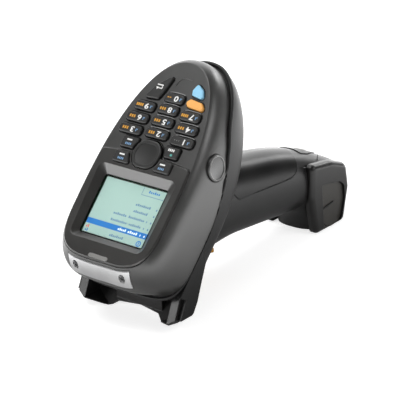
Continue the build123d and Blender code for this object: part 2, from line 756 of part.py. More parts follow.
def make_scan_engine():
    floor = -sole_drop + wall + 1.2
    body = block((-11, nose_back + 2.5, floor), (11, 32.8, floor + 9.6))
    barrel = rod_y(-4, floor + 4.8, 3.4, nose_back + 0.8, nose_back + 2.5)
    eye = rod_y(6, floor + 4.8, 2.0, nose_back + 1.2, nose_back + 2.5)
    return body + barrel + eye


# ---- grip pieces, in the grip frame --------------------------------------------------------
def grip_reach(s):
    """Palm side, finger side and half width of the grip at a station."""
    palm = palm_reach - palm_fall * max(s - palm_crest_s, 0) ** palm_power
    palm += palm_rise * max(palm_crest_s - s, 0)
    swell = min(max((web_from_s - s) / (web_from_s - web_to_s), 0), 1)
    finger = finger_reach + finger_slope * (toe_from_s - s) + web_out * swell ** 2 * (3 - 2 * swell)
    finger += toe_flare * max(s - toe_from_s, 0) ** 2
    finger = min(finger, toe_limit)
    return palm, finger, side_reach + side_slope * max(toe_from_s - s, 0)


def grip_section(s, grow=0.0):
    """Closed rounded wire across the grip at one station."""
    palm, finger, half = (reach + grow for reach in grip_reach(s))
    points = []
    for step in range(20):
        turn = radians(18 * step)
        reach = palm if cos(turn) > 0 else finger
        across, up = round_point(turn, (half, reach), grip_power)
        points.append((across, s, up))
    return Wire([Spline(*points, periodic=True)])


def grip_form(grow=0.0):
    """Outer form of the grip and its flared foot."""
    count = round((grip_stop - grip_start) / grip_step)
    return Solid.make_loft([grip_section(grip_start + index * grip_step, grow) for index in range(count + 1)])


def standing(solid):
    """Solid of the standing frame, given in the grip frame."""
    return GRIP.inverse() * solid


def head_in_grip(solid):
    """Solid of the head frame, given in the grip frame."""
    return GRIP.inverse() * (HEAD * solid)


def split_region(shift):
    """Foot's side of the joint between the grip and its foot, in the grip frame."""
    return standing(side_slab(polygon_edges([
        (split_low_y - 14 + shift, split_low_z - 12), (split_low_y + shift, split_low_z),
        (end_y + shift, split_high_z),
        (end_y + shift, FAR), (FAR * 1.5, FAR), (FAR * 1.5, -FAR), (split_low_y - 14 + shift, -FAR),
    ]), FAR))


def vee_region(shrink):
    """Pointed tongue of the grip that covers the foot, in the grip frame."""
    half = vee_half - shrink
    low = battery_palm + battery_gap + shrink
    plan = make_face(Polyline(
        (-half, 40), (-half, vee_start - shrink), (0, vee_tip - 1.7 * shrink), (half, vee_start - shrink),
        (half, 40), close=True))
    return between(plan, low, FAR / 2)


def pad_region(grow=0.0):
    """Rear side of the grip that the rubber pad covers, in the grip frame."""
    edges = Polyline(
        (-14 - grow, 40), (-4.4 - grow, 11.4), (3.2, 4.7 - grow), (53.7, 8.9 - grow), (59.6 + grow, 13.0),
        (62.0 + grow, 20.0), (67.3 + grow, 26.0), (67.3 + grow, 40), close=True)
    face = make_face(edges)
    corners = face.vertices().filter_by(lambda p: p.Y < 15)
    return extrude(Plane.YZ * fillet(corners, pad_corner), amount=60, both=True)


def latch_plan(grow=0.0):
    """Outline of the battery release button."""
    half, tip = latch_half + grow, latch_tip_half + grow
    face = make_face(Polyline(
        (-half, latch_from - grow), (-half, latch_bend), (-tip, latch_to + grow),
        (tip, latch_to + grow), (half, latch_bend), (half, latch_from - grow), close=True))
    return fillet(face.vertices(), 1.4)


def trigger_slot():
    """Space in the grip for the trigger."""
    half = trigger_half + trigger_side
    roof = trigger_hub + trigger_roof - trigger_pin_t
    return side_slab(polygon_edges([
        (-60, -60), (-60, roof), (trigger_pin_s + 6, roof),
        (trigger_pin_s + 10, -slot_floor_t), (slot_end_s, -slot_floor_t), (slot_end_s, -60),
    ]), half)


def battery_prism(gap, start, end):
    """Bar of the battery's section along the grip."""
    half, low, high = battery_half + gap, -battery_finger - gap, battery_palm + gap
    return block((-half, start, low), (half, end, high))


def catch_groove(low):
    """Channel that the release catch runs in as the battery slides."""
    half = catch_half + battery_gap
    return block((-half, battery_start - 2, low), (half, catch_to + 1.0, battery_palm + battery_gap + 0.1))


def make_grip_shell(form, head_block):
    foot = split_region(0) - vee_region(end_gap)
    shell = form - foot - head_block
    pin_reach = trigger_pin_half + 0.2
    pad_floor = grip_form(pad_proud - pad_thick - seat_gap)
    cuts = [
        battery_prism(battery_gap, battery_start - 1.0, FAR),
        trigger_slot(),
        rod_x(trigger_pin_s, -trigger_pin_t, trigger_pin_radius + pin_gap, -pin_reach, pin_reach),
        pad_region(seat_gap) - pad_floor,
        between(latch_plan(slide_gap), latch_bottom - latch_travel - 0.2, 40),
        block(
            (-catch_half - slide_gap, catch_from - slide_gap, 0),
            (catch_half + slide_gap, catch_to + slide_gap, latch_bottom)),
        switch_block(seat_gap),
    ]
    pilot_end = -sole_drop - grip_screw_bite - 0.3
    cuts += [
        head_in_grip(rod(place, screw_radius + bore_gap, pilot_end, 1 - sole_drop))
        for place in grip_screw_places()]
    cuts += [contact for contact in contact_blocks(0.05)]
    return shell - cuts


def contact_blocks(grow):
    """Battery contacts in the end wall of the battery bay."""
    blocks = []
    for index in (-1, 0, 1):
        x = index * contact_pitch
        half = contact_half + grow
        blocks.append(block(
            (x - half, battery_start - 3.0 - grow, -4 - grow), (x + half, battery_start - 0.15, 2 + grow)))
    return blocks


def switch_block(grow):
    """Body of the trigger switch, let into the slot's floor."""
    end = trigger_pin_s + 26
    return block(
        (-switch_half - grow, end - switch_long - grow, -slot_floor_t - 0.6),
        (switch_half + grow, end + grow, -slot_floor_t + 4.5 + grow))


def make_trigger_switch():
    body = switch_block(0)
    end = trigger_pin_s + 26
    return body + rod((0, end - 3), 1.0, -slot_floor_t - 1.4, -slot_floor_t)


def make_grip_pad():
    pad = (pad_region() - grip_form(pad_proud - pad_thick)) & grip_form(pad_proud)
    return pad - head_in_grip(block((-FAR, -FAR, -sole_drop - seat_gap), (FAR, FAR, FAR)))


def make_trigger():
    pin_t = -trigger_pin_t
    blade = side_slab([
        ThreePointArc(
            (trigger_tip_s, -trigger_tip_t), (-19, -trigger_dish_t), (trigger_crown_s, -trigger_crown_t)),
        Line((trigger_crown_s, -trigger_crown_t), (trigger_pin_s - trigger_hub + 0.2, pin_t)),
        Line((trigger_pin_s - trigger_hub + 0.2, pin_t), (trigger_pin_s + 1, pin_t + 2.2)),
        Line((trigger_pin_s + 1, pin_t + 2.2), (-10, -trigger_back_t - 0.8)),
        Line((-10, -trigger_back_t - 0.8), (trigger_tip_s - 0.6, -trigger_tip_t + 3)),
        Line((trigger_tip_s - 0.6, -trigger_tip_t + 3), (trigger_tip_s, -trigger_tip_t)),
    ], trigger_half)
    blade = fillet(blade.edges().filter_by(GeomType.CIRCLE), 1.0)
    cheek = trigger_half - trigger_cheek
    hub = rod_x(trigger_pin_s, pin_t, trigger_hub, -cheek, cheek)
    blade -= rod_x(trigger_pin_s, pin_t, trigger_hub + 0.6, cheek, trigger_half + 1)
    blade -= rod_x(trigger_pin_s, pin_t, trigger_hub + 0.6, -trigger_half - 1, -cheek)
    blade += hub
    return blade - rod_x(trigger_pin_s, pin_t, trigger_pin_radius + pin_gap, -20, 20)


def make_trigger_pin():
    return rod_x(trigger_pin_s, -trigger_pin_t, trigger_pin_radius, -trigger_pin_half, trigger_pin_half)


def coil(radius, wire, turns, pitch):
    """Close coil round the Z axis, as stacked rings joined by a bar."""
    body = Part()
    for turn in range(turns):
        body += Pos(0, 0, turn * pitch) * Torus(radius, wire)
    return body + rod((radius, 0), wire * 0.8, 0, (turns - 1) * pitch)


def make_trigger_spring():
    radius = trigger_pin_radius + 0.9
    body = Rot(0, 90, 0) * coil(radius, spring_wire, spring_turns, 2 * spring_wire * 0.95)
    half = spring_wire * 0.8
    leg = block((0, -half, radius), (2 * half, half, trigger_hub + trigger_roof - 0.1))
    return Pos(trigger_half - trigger_cheek + spring_wire + 0.1, trigger_pin_s, -trigger_pin_t) * (body + leg)


# ---- foot pieces ---------------------------------------------------------------------------
def block_profile():
    """Side outline of a foot block, in the standing frame."""
    corners = {
        (168.6, 45.0): 3.5, (166.6, 24.0): 12.0, (169.0, 0): 4.0, (196.5, 0): 4.0, (202.9, 20.5): 9.0,
        (201.6, 35.6): 6.0, (188.0, 41.6): 12.0,
    }
    face = make_face(Polyline(*corners, close=True))
    for (y, z), radius in corners.items():
        near = face.vertices().sort_by_distance((y, z, 0))[0]
        face = fillet(near, radius)
    return face


def panel_profile():
    """Sunk finger panel of a foot block, open at its lower edge."""
    face = make_face(Polyline(
        (176.5, -2), (176.7, 29.8), (182.3, 29.2), (194.3, 26.2), (197.5, 22.8), (197.8, 14.8),
        (195.0, 5.5), (191.0, -2), close=True))
    return fillet(face.vertices().filter_by(lambda p: p.Y > 0), 1.2)


def make_foot_blocks():
    """Both side blocks of the foot, in the standing frame."""
    body = extrude(Plane.YZ * block_profile(), amount=block_out - core_half)
    outer = body.faces().sort_by(Axis.X)[-1]
    body = fillet(outer.edges(), block_round)
    panel = Pos(block_out - core_half - panel_sink, 0, 0) * extrude(Plane.YZ * panel_profile(), amount=FAR)
    body -= panel
    tick = Pos(block_out - core_half - panel_sink - 0.1, 182.8, 14.4) * Rot(8, 0, 0) * Box(1.6, 10, 1.0)
    body += tick
    right = Pos(core_half, 0, 0) * body
    return [right, mirror(right, about=Plane.YZ)]


def make_battery_foot(form):
    """Foot of the grip, which carries the battery, in the grip frame."""
    foot = form & split_region(end_gap)
    foot -= vee_region(0)
    end = standing(side_slab(polygon_edges([
        (100, foot_clear), (foot_back_y, foot_clear), *foot_end_line, (200, FAR), (100, FAR),
    ]), FAR))
    foot &= end
    sides = standing(extrude(Plane.YZ * block_profile(), amount=FAR / 2, both=True))
    foot -= sides - block((-core_half, -FAR, -FAR), (core_half, FAR * 2, FAR))
    foot -= catch_groove(battery_palm - groove_deep)
    return foot


def make_battery_pack():
    pack = battery_prism(0, battery_start, 120.0)
    pack = fillet(pack.edges().filter_by(Axis.Y), battery_round)
    pack -= split_region(end_gap)
    return pack - catch_groove(battery_palm - groove_deep)


def make_latch():
    cap = grip_form(latch_proud) & between(latch_plan(), latch_bottom, FAR / 2)
    catch = block((-catch_half, catch_from, catch_low), (catch_half, catch_to, latch_bottom + 1))
    cap += catch
    return cap - rod((0, latch_spring_s), latch_spring_radius + 0.9, 0, latch_bottom + 3.0)


def make_latch_spring():
    low = latch_bottom - latch_travel - 0.2
    high = latch_bottom + 3.0
    wire = 0.35
    turns = 4
    pitch = (high - low - 2 * wire) / (turns - 1)
    return Pos(0, latch_spring_s, low + wire) * coil(latch_spring_radius, wire, turns, pitch)


# ---- the whole part -------------------------------------------------------------------------
def build():
    """Every node by name, in the standing frame."""
    plans = key_plans()
    head = {
        "upper_housing": make_upper_housing(plans),
        "lower_housing": make_lower_housing(),
        "housing_seal": make_housing_seal(),
        "display_bezel": make_bezel(plans),
        "display_window": make_display_window(),
        "lcd_module": make_lcd(),
        "lamp_lens": make_lamp(),
        "nameplate": make_nameplate(),
        "nameplate_screws": make_nameplate_screws(),
        "side_caps": [make_side_cap(-1), make_side_cap(1)],
        "nose_bumper": make_nose_bumper(),
        "scan_window": make_scan_window(),
        "scan_engine": make_scan_engine(),
        "engine_bracket": make_engine_bracket(),
        "key_board": make_key_board(),
        "dome_sheet": make_dome_sheet(plans),
        "main_board": make_main_board(),
        "board_spacers": make_board_spacers(),
        "housing_screws": make_housing_screws(),
        "grip_screws": make_grip_screws(),
        "nav_pad": make_nav_pad(),
        "nav_gimbal": make_nav_gimbal(),
        "nav_cradle": make_nav_cradle(),
    }
    for name, (sketch, top) in plans.items():
        head[name] = make_key(sketch, top)
    form = grip_form()
    head_block = head_in_grip(block((-FAR, -FAR, -sole_drop), (FAR, FAR, FAR)))
    grip = {
        "grip_shell": make_grip_shell(form, head_block),
        "grip_pad": make_grip_pad(),
        "trigger": make_trigger(),
        "trigger_pin": make_trigger_pin(),
        "trigger_spring": make_trigger_spring(),
        "trigger_switch": make_trigger_switch(),
        "battery_pack": make_battery_pack(),
        "battery_foot": make_battery_foot(form),
        "battery_contacts": contact_blocks(0),
        "battery_latch": make_latch(),
        "latch_spring": make_latch_spring(),
    }
    nodes = {name: placed(HEAD, shape) for name, shape in head.items()}
    nodes.update({name: placed(GRIP, shape) for name, shape in grip.items()})
    nodes["foot_blocks"] = placed(Location(), make_foot_blocks())
    return nodes


def placed(where, shape):
    """Solids of a node, moved to their place."""
    pieces = shape if isinstance(shape, list) else [shape]
    solids = [where * solid for piece in pieces for solid in piece.solids()]
    return solids[0] if len(solids) == 1 else Compound(children=solids)


if __name__ == "__main__":
    nodes = build()
    reach = [point.Y for node in nodes.values() for point in node.tessellate(0.05, 0.3)[0]]
    centre = Pos(0, -(min(reach) + max(reach)) / 2, 0)
    for name, node in nodes.items():
        export_step(centre * node, f"parts/{name}.step")
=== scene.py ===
"""Looks for a pistol-grip data terminal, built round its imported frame.

Lengths are in millimetres in the frames of the head and the grip, and in metres in Blender.
"""
import json
import logging
import math
from dataclasses import dataclass
from enum import Enum
from functools import partial

import bmesh
import bpy
from mathutils import Matrix, Vector
from mathutils.bvhtree import BVHTree

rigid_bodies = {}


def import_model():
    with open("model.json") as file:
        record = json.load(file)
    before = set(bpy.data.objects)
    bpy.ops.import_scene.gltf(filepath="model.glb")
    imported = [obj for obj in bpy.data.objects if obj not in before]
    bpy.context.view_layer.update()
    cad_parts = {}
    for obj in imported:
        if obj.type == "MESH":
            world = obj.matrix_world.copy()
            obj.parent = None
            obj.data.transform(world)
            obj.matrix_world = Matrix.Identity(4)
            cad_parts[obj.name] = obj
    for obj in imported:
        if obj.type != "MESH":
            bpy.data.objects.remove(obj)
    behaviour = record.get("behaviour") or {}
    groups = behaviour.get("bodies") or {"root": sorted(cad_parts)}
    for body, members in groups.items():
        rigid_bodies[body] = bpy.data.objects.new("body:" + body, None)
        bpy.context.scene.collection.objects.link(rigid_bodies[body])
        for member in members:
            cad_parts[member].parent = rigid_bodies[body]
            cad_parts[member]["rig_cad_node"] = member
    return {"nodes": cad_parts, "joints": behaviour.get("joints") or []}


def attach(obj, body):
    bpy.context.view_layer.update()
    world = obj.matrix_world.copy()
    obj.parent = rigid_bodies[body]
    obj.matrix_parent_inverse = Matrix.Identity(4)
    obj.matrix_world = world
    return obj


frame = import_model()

log = logging.getLogger("terminal")

MM = 0.001
# points nearer than this are one, in millimetres: on new shapes, and on copies of CAD skins
MERGE = 0.0005
CAD_MERGE = 0.002

Point = tuple[float, float, float]
Pair = tuple[float, float]
# a printed stroke: its offset across and along from the key's middle, its width and its height
Stroke = tuple[float, float, float, float]


# -------- frames

@dataclass(frozen=True)
class Axes:
    """A local frame of the object: an origin in metres and three unit directions."""

    origin: Vector
    across: Vector
    along: Vector
    out: Vector

    def at(self, u: float, v: float, w: float) -> Vector:
        """Gives the place of a local point.

        Args:
            u: Millimetres across.
            v: Millimetres along.
            w: Millimetres out of the surface.

        Returns:
            The point in metres in the row frame.
        """
        return self.origin + (self.across * u + self.along * v + self.out * w) * MM

    def matrix(self) -> Matrix:
        """Gives the transform from local millimetres to the row frame in metres."""
        turn = Matrix((self.across, self.along, self.out)).transposed().to_4x4()
        return Matrix.Translation(self.origin) @ turn @ Matrix.Scale(MM, 4)

    def spots(self, node: str) -> list[Vector]:
        """Gives the points of a CAD node in local millimetres."""
        back = self.matrix().inverted()
        return [back @ v.co for v in frame["nodes"][node].data.vertices]


def joint(name: str) -> dict:
    """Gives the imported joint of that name."""
    return next(j for j in frame["joints"] if j["name"] == name)


# the rocker's hinge in the head's frame, and the trigger's pin in the grip's
NAV_V, NAV_AXIS_DROP = 72.7, 4.4
TRIGGER_S, TRIGGER_T = -33.0, -21.0


def head_axes() -> Axes:
    """Works out the head's frame from the rocker's hinge: origin on the face at the nose end.

    Returns:
        Axes with u across the face, v towards the tail and w out of the face.
    """
    along = Vector(joint("nav_tilt_sideways")["axis"]).normalized()
    across = Vector((1, 0, 0))
    out = across.cross(along)
    hinge = Vector(joint("nav_tilt_updown")["pos_m"])
    return Axes(hinge - (along * NAV_V - out * NAV_AXIS_DROP) * MM, across, along, out)


def grip_axes() -> Axes:
    """Works out the grip's frame from the battery's slide and the trigger's pin.

    Returns:
        Axes with u across, v down the grip and w towards the palm.
    """
    along = Vector(joint("battery_slide")["axis"]).normalized()
    out = -Vector(joint("battery_release_press")["axis"]).normalized()
    pin = Vector(joint("trigger_pull")["pos_m"])
    return Axes(pin - (along * TRIGGER_S + out * TRIGGER_T) * MM, Vector((1, 0, 0)), along, out)


HEAD = head_axes()
GRIP = grip_axes()
# the print on the face is read from the tail
TURNED = Matrix.Rotation(math.pi, 4, "Z")


# -------- colours and nodes

def linear(code: str) -> tuple[float, float, float, float]:
    """Turns an sRGB hex colour into linear values.

    Args:
        code: Six hex digits, with or without a leading mark.

    Returns:
        Red, green, blue and an alpha of 1.
    """
    code = code.lstrip("#")
    parts = [int(code[i:i + 2], 16) / 255 for i in (0, 2, 4)]
    low = [c / 12.92 if c <= 0.04045 else ((c + 0.055) / 1.055) ** 2.4 for c in parts]
    return (low[0], low[1], low[2], 1.0)


def add(tree: bpy.types.NodeTree, kind: str, settings: dict | None = None,
        links: dict | None = None) -> bpy.types.Node:
    """Adds one node with its settings and links.

    Args:
        tree: The node tree.
        kind: The node's type name.
        settings: Names of properties or input sockets and their values.
        links: Input sockets, by name or number, and the output sockets that feed them.

    Returns:
        The new node.
    """
    node = tree.nodes.new(kind)
    for key, value in (settings or {}).items():
        if isinstance(key, str) and hasattr(node, key):
            setattr(node, key, value)
        else:
            node.inputs[key].default_value = value
    for key, socket in (links or {}).items():
        tree.links.new(socket, node.inputs[key])
    return node


def fresh_tree(owner: bpy.types.Material | bpy.types.World) -> bpy.types.NodeTree:
    """Gives the empty node tree of a material or world."""
    owner.use_nodes = True
    owner.node_tree.nodes.clear()
    return owner.node_tree


class Grain(Enum):
    """How a surface's relief is laid out."""

    SPARK = "spark eroded mould texture"
    BRUSHED = "brushed along the width"
    BOARD = "printed tracks"
    NONE = "smooth"


# the broad clouds, the fine grain, and how the two make the tone between shade and colour
CLOUD_DETAIL, CLOUD_ROUGH = 3.0, 0.55
GRAIN_DETAIL, GRAIN_ROUGH = 2.0, 0.6
GRAIN_SHARE = 0.45
TONE_LOW, TONE_HIGH = 0.45, 0.95
BRUSH_STRETCH = (0.04, 1.0, 1.0)
EDGE_SAMPLES = 6


@dataclass(frozen=True)
class Finish:
    """A finish: what the piece is made of and how its surface was made."""

    name: str
    colour: str
    shade: str
    rough: float = 0.5
    rough_spread: float = 0.08
    metal: float = 0.0
    level: float = 0.5
    grain: Grain = Grain.SPARK
    grain_mm: float = 0.35
    relief_mm: float = 0.012
    cloud_mm: float = 18.0
    clear: float = 0.0
    glow: float = 0.0
    ior: float = 1.46
    edge_mm: float = 0.0

    def build(self) -> bpy.types.Material:
        """Makes the material once, or gives the one that was made before.

        Returns:
            The node material.
        """
        made = bpy.data.materials.get(self.name)
        if made:
            return made
        made = bpy.data.materials.new(self.name)
        tree = fresh_tree(made)
        place = add(tree, "ShaderNodeTexCoord").outputs["Object"]
        cloud = add(tree, "ShaderNodeTexNoise", {"Scale": 1 / (self.cloud_mm * MM), "Detail": CLOUD_DETAIL,
                                                 "Roughness": CLOUD_ROUGH}, {"Vector": place})
        grain = self.pattern(tree, place)
        mixed = add(tree, "ShaderNodeMath", {"operation": "MULTIPLY_ADD", 1: GRAIN_SHARE},
                    {0: grain, 2: cloud.outputs["Fac"]})
        tone = add(tree, "ShaderNodeValToRGB", links={"Fac": mixed.outputs[0]})
        stops = zip(tone.color_ramp.elements, (TONE_LOW, TONE_HIGH), (self.shade, self.colour))
        for stop, at, code in stops:
            stop.position = at
            stop.color = linear(code)
        polish = add(tree, "ShaderNodeMapRange",
                     {"To Min": self.rough - self.rough_spread, "To Max": self.rough + self.rough_spread},
                     {"Value": mixed.outputs[0]})
        relief = add(tree, "ShaderNodeBump", {"Strength": 1.0, "Distance": self.relief_mm * MM},
                     {"Height": grain})
        if self.edge_mm:
            edge = add(tree, "ShaderNodeBevel", {"samples": EDGE_SAMPLES, "Radius": self.edge_mm * MM})
            tree.links.new(edge.outputs["Normal"], relief.inputs["Normal"])
        shader = add(tree, "ShaderNodeBsdfPrincipled",
                     {"Metallic": self.metal, "Specular IOR Level": self.level,
                      "Transmission Weight": self.clear},
                     {"Base Color": tone.outputs["Color"], "Roughness": polish.outputs["Result"],
                      "Normal": relief.outputs["Normal"]})
        if not self.metal:
            shader.inputs["IOR"].default_value = self.ior
        if self.glow:
            shader.inputs["Emission Strength"].default_value = self.glow
            tree.links.new(tone.outputs["Color"], shader.inputs["Emission Color"])
        add(tree, "ShaderNodeOutputMaterial", links={"Surface": shader.outputs["BSDF"]})
        return made

    def pattern(self, tree: bpy.types.NodeTree, place: bpy.types.NodeSocket) -> bpy.types.NodeSocket:
        """Adds the fine pattern of the surface.

        Args:
            tree: The material's node tree.
            place: Object coordinates.

        Returns:
            The pattern's value, about 0 to 1.
        """
        scale = 1 / (self.grain_mm * MM)
        if self.grain is Grain.BRUSHED:
            stretched = add(tree, "ShaderNodeMapping", {"Scale": BRUSH_STRETCH}, {"Vector": place})
            return add(tree, "ShaderNodeTexNoise", {"Scale": scale, "Detail": GRAIN_DETAIL},
                       {"Vector": stretched.outputs[0]}).outputs["Fac"]
        if self.grain is Grain.BOARD:
            return add(tree, "ShaderNodeTexVoronoi", {"Scale": scale, "distance": "CHEBYCHEV"},
                       {"Vector": place}).outputs["Distance"]
        detail = 0.0 if self.grain is Grain.NONE else GRAIN_DETAIL
        return add(tree, "ShaderNodeTexNoise", {"Scale": scale, "Detail": detail, "Roughness": GRAIN_ROUGH},
                   {"Vector": place}).outputs["Fac"]


# moulded ABS and polycarbonate with a spark eroded texture: satin, soft highlights, faint speckle.
# The grain of this and the other finishes is drawn coarser than the real one, so that it shows
HOUSING_GREY = Finish("moulded_polycarbonate_mid_grey", "#373736", "#2d2d2c", 0.33, 0.05, level=0.8,
                      grain_mm=0.6, edge_mm=1.0)
HOUSING_DARK = Finish("moulded_polycarbonate_charcoal", "#131313", "#0e0e0e", 0.40, 0.06, level=0.3,
                      grain_mm=0.6, edge_mm=0.6)
BEZEL_GREY = Finish("moulded_abs_warm_grey", "#2f2e2c", "#262524", 0.30, 0.05, level=0.8, relief_mm=0.005,
                    edge_mm=0.3)
GRIP_DARK = Finish("moulded_abs_grip_charcoal", "#222222", "#1a1a1a", 0.36, 0.06, level=0.35, grain_mm=0.6,
                   edge_mm=0.5)
CAP_GREY = Finish("moulded_abs_cap_grey", "#262626", "#1f1f1f", 0.26, 0.05, level=0.8, relief_mm=0.003,
                  edge_mm=0.3)
# pale grey on the ridges above the keys and on the rings of the side caps: a painted highlight along each
# raised edge
RIDGE_HIGHLIGHT_GREY = Finish("painted_highlight_ridge_grey", "#8c8c8b", "#7a7a79", 0.30, 0.05, level=0.8, relief_mm=0.002)
FOOT_DARK = Finish("moulded_abs_foot_black", "#171615", "#100f0f", 0.32, 0.06, relief_mm=0.008, edge_mm=0.5)
PANEL_GREY = Finish("moulded_abs_panel_grey", "#413f3b", "#34322f", 0.42, 0.06, relief_mm=0.010)
LATCH_BLACK = Finish("matt_abs_black", "#101010", "#0b0b0b", 0.40, 0.05, level=0.3, grain_mm=0.4,
                     relief_mm=0.003)
# ABS from a polished mould: a tighter, brighter highlight. Its colour is darker than the cap's: painted shade
# in the dish
CAP_DISH_SHADE = Finish("polished_abs_dish_painted_shade", "#1b1b1b", "#161616", 0.20, 0.04, level=0.7, grain_mm=0.4,
                  relief_mm=0.001)
# moulded thermoplastic rubber: near black, broad dull sheen
RUBBER_PAD = Finish("overmoulded_rubber_black", "#0a0a0a", "#050505", 0.30, 0.05, level=0.25, grain_mm=0.5,
                    relief_mm=0.008, edge_mm=0.3)
# the seal's own black, also used for the seam bead: painted shade along the joint between the housings
SEAL_AND_SEAM_SHADE = Finish("rubber_seal_and_seam_shade_black", "#121212", "#0b0b0b", 0.55, 0.05, grain_mm=0.4, relief_mm=0.004)
RUBBER_BUMPER = Finish("moulded_rubber_charcoal", "#1e1d1d", "#151515", 0.38, 0.06, relief_mm=0.010,
                       edge_mm=0.6)
# silicone keys: matt, slightly soft looking
KEY_DARK = Finish("silicone_key_charcoal", "#222221", "#1b1b1a", 0.40, 0.05, grain_mm=0.4, relief_mm=0.005,
                  edge_mm=0.35)
KEY_BLUE = Finish("silicone_key_sky_blue", "#9ad6f5", "#8fcdf0", 0.50, 0.04, grain_mm=0.4, relief_mm=0.004)
KEY_ORANGE = Finish("silicone_key_orange", "#fbb763", "#f6ad55", 0.50, 0.04, grain_mm=0.4, relief_mm=0.004)
# black rings round the keys, and lines in the grip's groove and round the finger panels: painted shade in the
# gaps
GAP_SHADE_BLACK = Finish("painted_gap_shade_black", "#0a0a0a", "#060606", 0.6, 0.05, level=0.3, relief_mm=0.002)
# pad printing inks: flat, thin, slightly uneven
pad_print = partial(Finish, rough=0.55, rough_spread=0.04, relief_mm=0.002, cloud_mm=4)
INK_WHITE = pad_print("pad_print_white", "#f4f4f2", "#e4e4e2")
INK_ORANGE = pad_print("pad_print_orange", "#dfa02f", "#cf9226")
INK_BLUE = pad_print("pad_print_blue", "#7fa9d2", "#6d97c2")
INK_TEAL = pad_print("pad_print_teal", "#5fb3a8", "#52a197")
INK_GREY = pad_print("pad_print_grey", "#8a8a88", "#7c7c7a")
# backlit liquid crystal panel: an even glow, pale grey green behind blue marks
crystal = partial(Finish, rough=0.35, rough_spread=0.03, grain=Grain.NONE, relief_mm=0.0)
LCD_GREEN = crystal("backlit_crystal_green", "#93aea6", "#88a49d", cloud_mm=40, glow=0.40)
LCD_BLUE = crystal("backlit_crystal_blue", "#0b6cb4", "#0863a9", cloud_mm=30, glow=0.32)
LCD_WHITE = crystal("backlit_crystal_white", "#dbe9ee", "#cfe0e8", glow=0.5)
LCD_TEXT = crystal("backlit_crystal_text", "#4a7298", "#40678d", glow=0.28)
LCD_RED = crystal("backlit_crystal_red", "#cf5a4e", "#c24c42", glow=0.4)
# clear and tinted acrylic: crisp reflections. The lamp's lens is frosted and spreads them
CLEAR = Finish("clear_acrylic", "#ffffff", "#fbfdfc", 0.03, 0.01, grain=Grain.NONE, relief_mm=0.0, clear=1.0,
               ior=1.30)
RED_TINT = Finish("dark_red_acrylic", "#3a0708", "#2c0506", 0.06, 0.02, grain=Grain.NONE, relief_mm=0.0,
                  clear=0.35, ior=1.49)
LAMP = Finish("frosted_polycarbonate", "#8b8a88", "#7c7b79", 0.32, 0.05, grain_mm=0.3, relief_mm=0.004)
# metals: brushed and rolled sheet draw highlights out across the width, plated and turned ones shine tighter
PLATE = Finish("brushed_aluminium_plate", "#cbcbcb", "#b9b9ba", 0.34, 0.08, metal=1.0, grain=Grain.BRUSHED,
               grain_mm=0.12, relief_mm=0.003)
BRACKET = Finish("rolled_steel_sheet", "#9c9da0", "#86878a", 0.38, 0.07, metal=1.0, grain=Grain.BRUSHED,
                 grain_mm=0.15, relief_mm=0.004)
SCREW = Finish("zinc_plated_steel", "#a9a9aa", "#8f8f91", 0.28, 0.07, metal=1.0, grain_mm=0.2,
               relief_mm=0.004)
SPRING = Finish("spring_steel", "#b4b4b5", "#9a9a9c", 0.25, 0.06, metal=1.0, grain_mm=0.15, relief_mm=0.003)
BRASS = Finish("turned_brass", "#d9b66a", "#c09a4e", 0.26, 0.06, metal=1.0, grain_mm=0.15, relief_mm=0.003)
GILT = Finish("gold_flashed_contact", "#e6c06a", "#d0a84e", 0.22, 0.05, metal=1.0, grain_mm=0.2,
              relief_mm=0.002)
# what lies inside: glossy green boards with tracks, milky film, dull dark mouldings and a satin amber one
BOARD_GREEN = Finish("solder_mask_green", "#1f5a38", "#123d26", 0.35, 0.06, grain=Grain.BOARD, grain_mm=1.8,
                     relief_mm=0.03)
FILM = Finish("polyester_dome_film", "#c9c7bd", "#b7b5ab", 0.35, 0.06, grain_mm=0.6, relief_mm=0.004)
LCD_FRAME = Finish("display_module_black", "#0d0d0e", "#080808", 0.4, 0.05)
ENGINE_BLACK = Finish("scan_engine_black", "#171718", "#101011", 0.45, 0.06)
SWITCH_BLACK = Finish("glass_filled_nylon_black", "#1b1b1c", "#131314", 0.5, 0.06)
CELL_WRAP = Finish("battery_case_black", "#202123", "#18191b", 0.45, 0.06, grain_mm=0.4, relief_mm=0.006)
NYLON_GREY = Finish("moulded_nylon_grey", "#4a4a4c", "#3e3e40", 0.5, 0.06)
AMBER = Finish("moulded_acetal_amber", "#d89a34", "#c98a27", 0.34, 0.05, grain_mm=0.4, relief_mm=0.006)


# -------- shape helpers

def linked(name: str, data: bpy.types.ID) -> bpy.types.Object:
    """Makes an object of a mesh, curve, lamp or camera and links it to the scene."""
    made = bpy.data.objects.new(name, data)
    bpy.context.scene.collection.objects.link(made)
    return made


def finish_piece(name: str, mesh: bpy.types.Mesh, finish: Finish, body: str) -> None:
    """Links a mesh as a piece, dresses it and makes it ride.

    Args:
        name: The piece's name.
        mesh: Its mesh, placed in the row frame.
        finish: Its finish.
        body: The body that carries it.
    """
    mesh.materials.append(finish.build())
    made = linked(name, mesh)
    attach(made, body)
    log.info("piece %s on %s", name, body)


def mesh_from(shape: bmesh.types.BMesh, name: str, where: Matrix, skin: bool = False) -> bpy.types.Mesh:
    """Merges a bmesh's doubles, turns its faces out, writes it out as a mesh in the row frame and frees it.

    Args:
        shape: The bmesh, in local millimetres.
        name: The mesh's name.
        where: The transform to the row frame.
        skin: Whether it is an open skin that faces up and is shaded smooth, not a flat-sided block.

    Returns:
        The mesh.
    """
    bmesh.ops.remove_doubles(shape, verts=shape.verts, dist=MERGE)
    bmesh.ops.recalc_face_normals(shape, faces=shape.faces)
    if skin and sum(face.normal.z for face in shape.faces) < 0:
        bmesh.ops.reverse_faces(shape, faces=shape.faces)
    bmesh.ops.transform(shape, matrix=where, verts=shape.verts)
    for face in shape.faces:
        face.smooth = skin
    mesh = bpy.data.meshes.new(name)
    shape.to_mesh(mesh)
    shape.free()
    return mesh


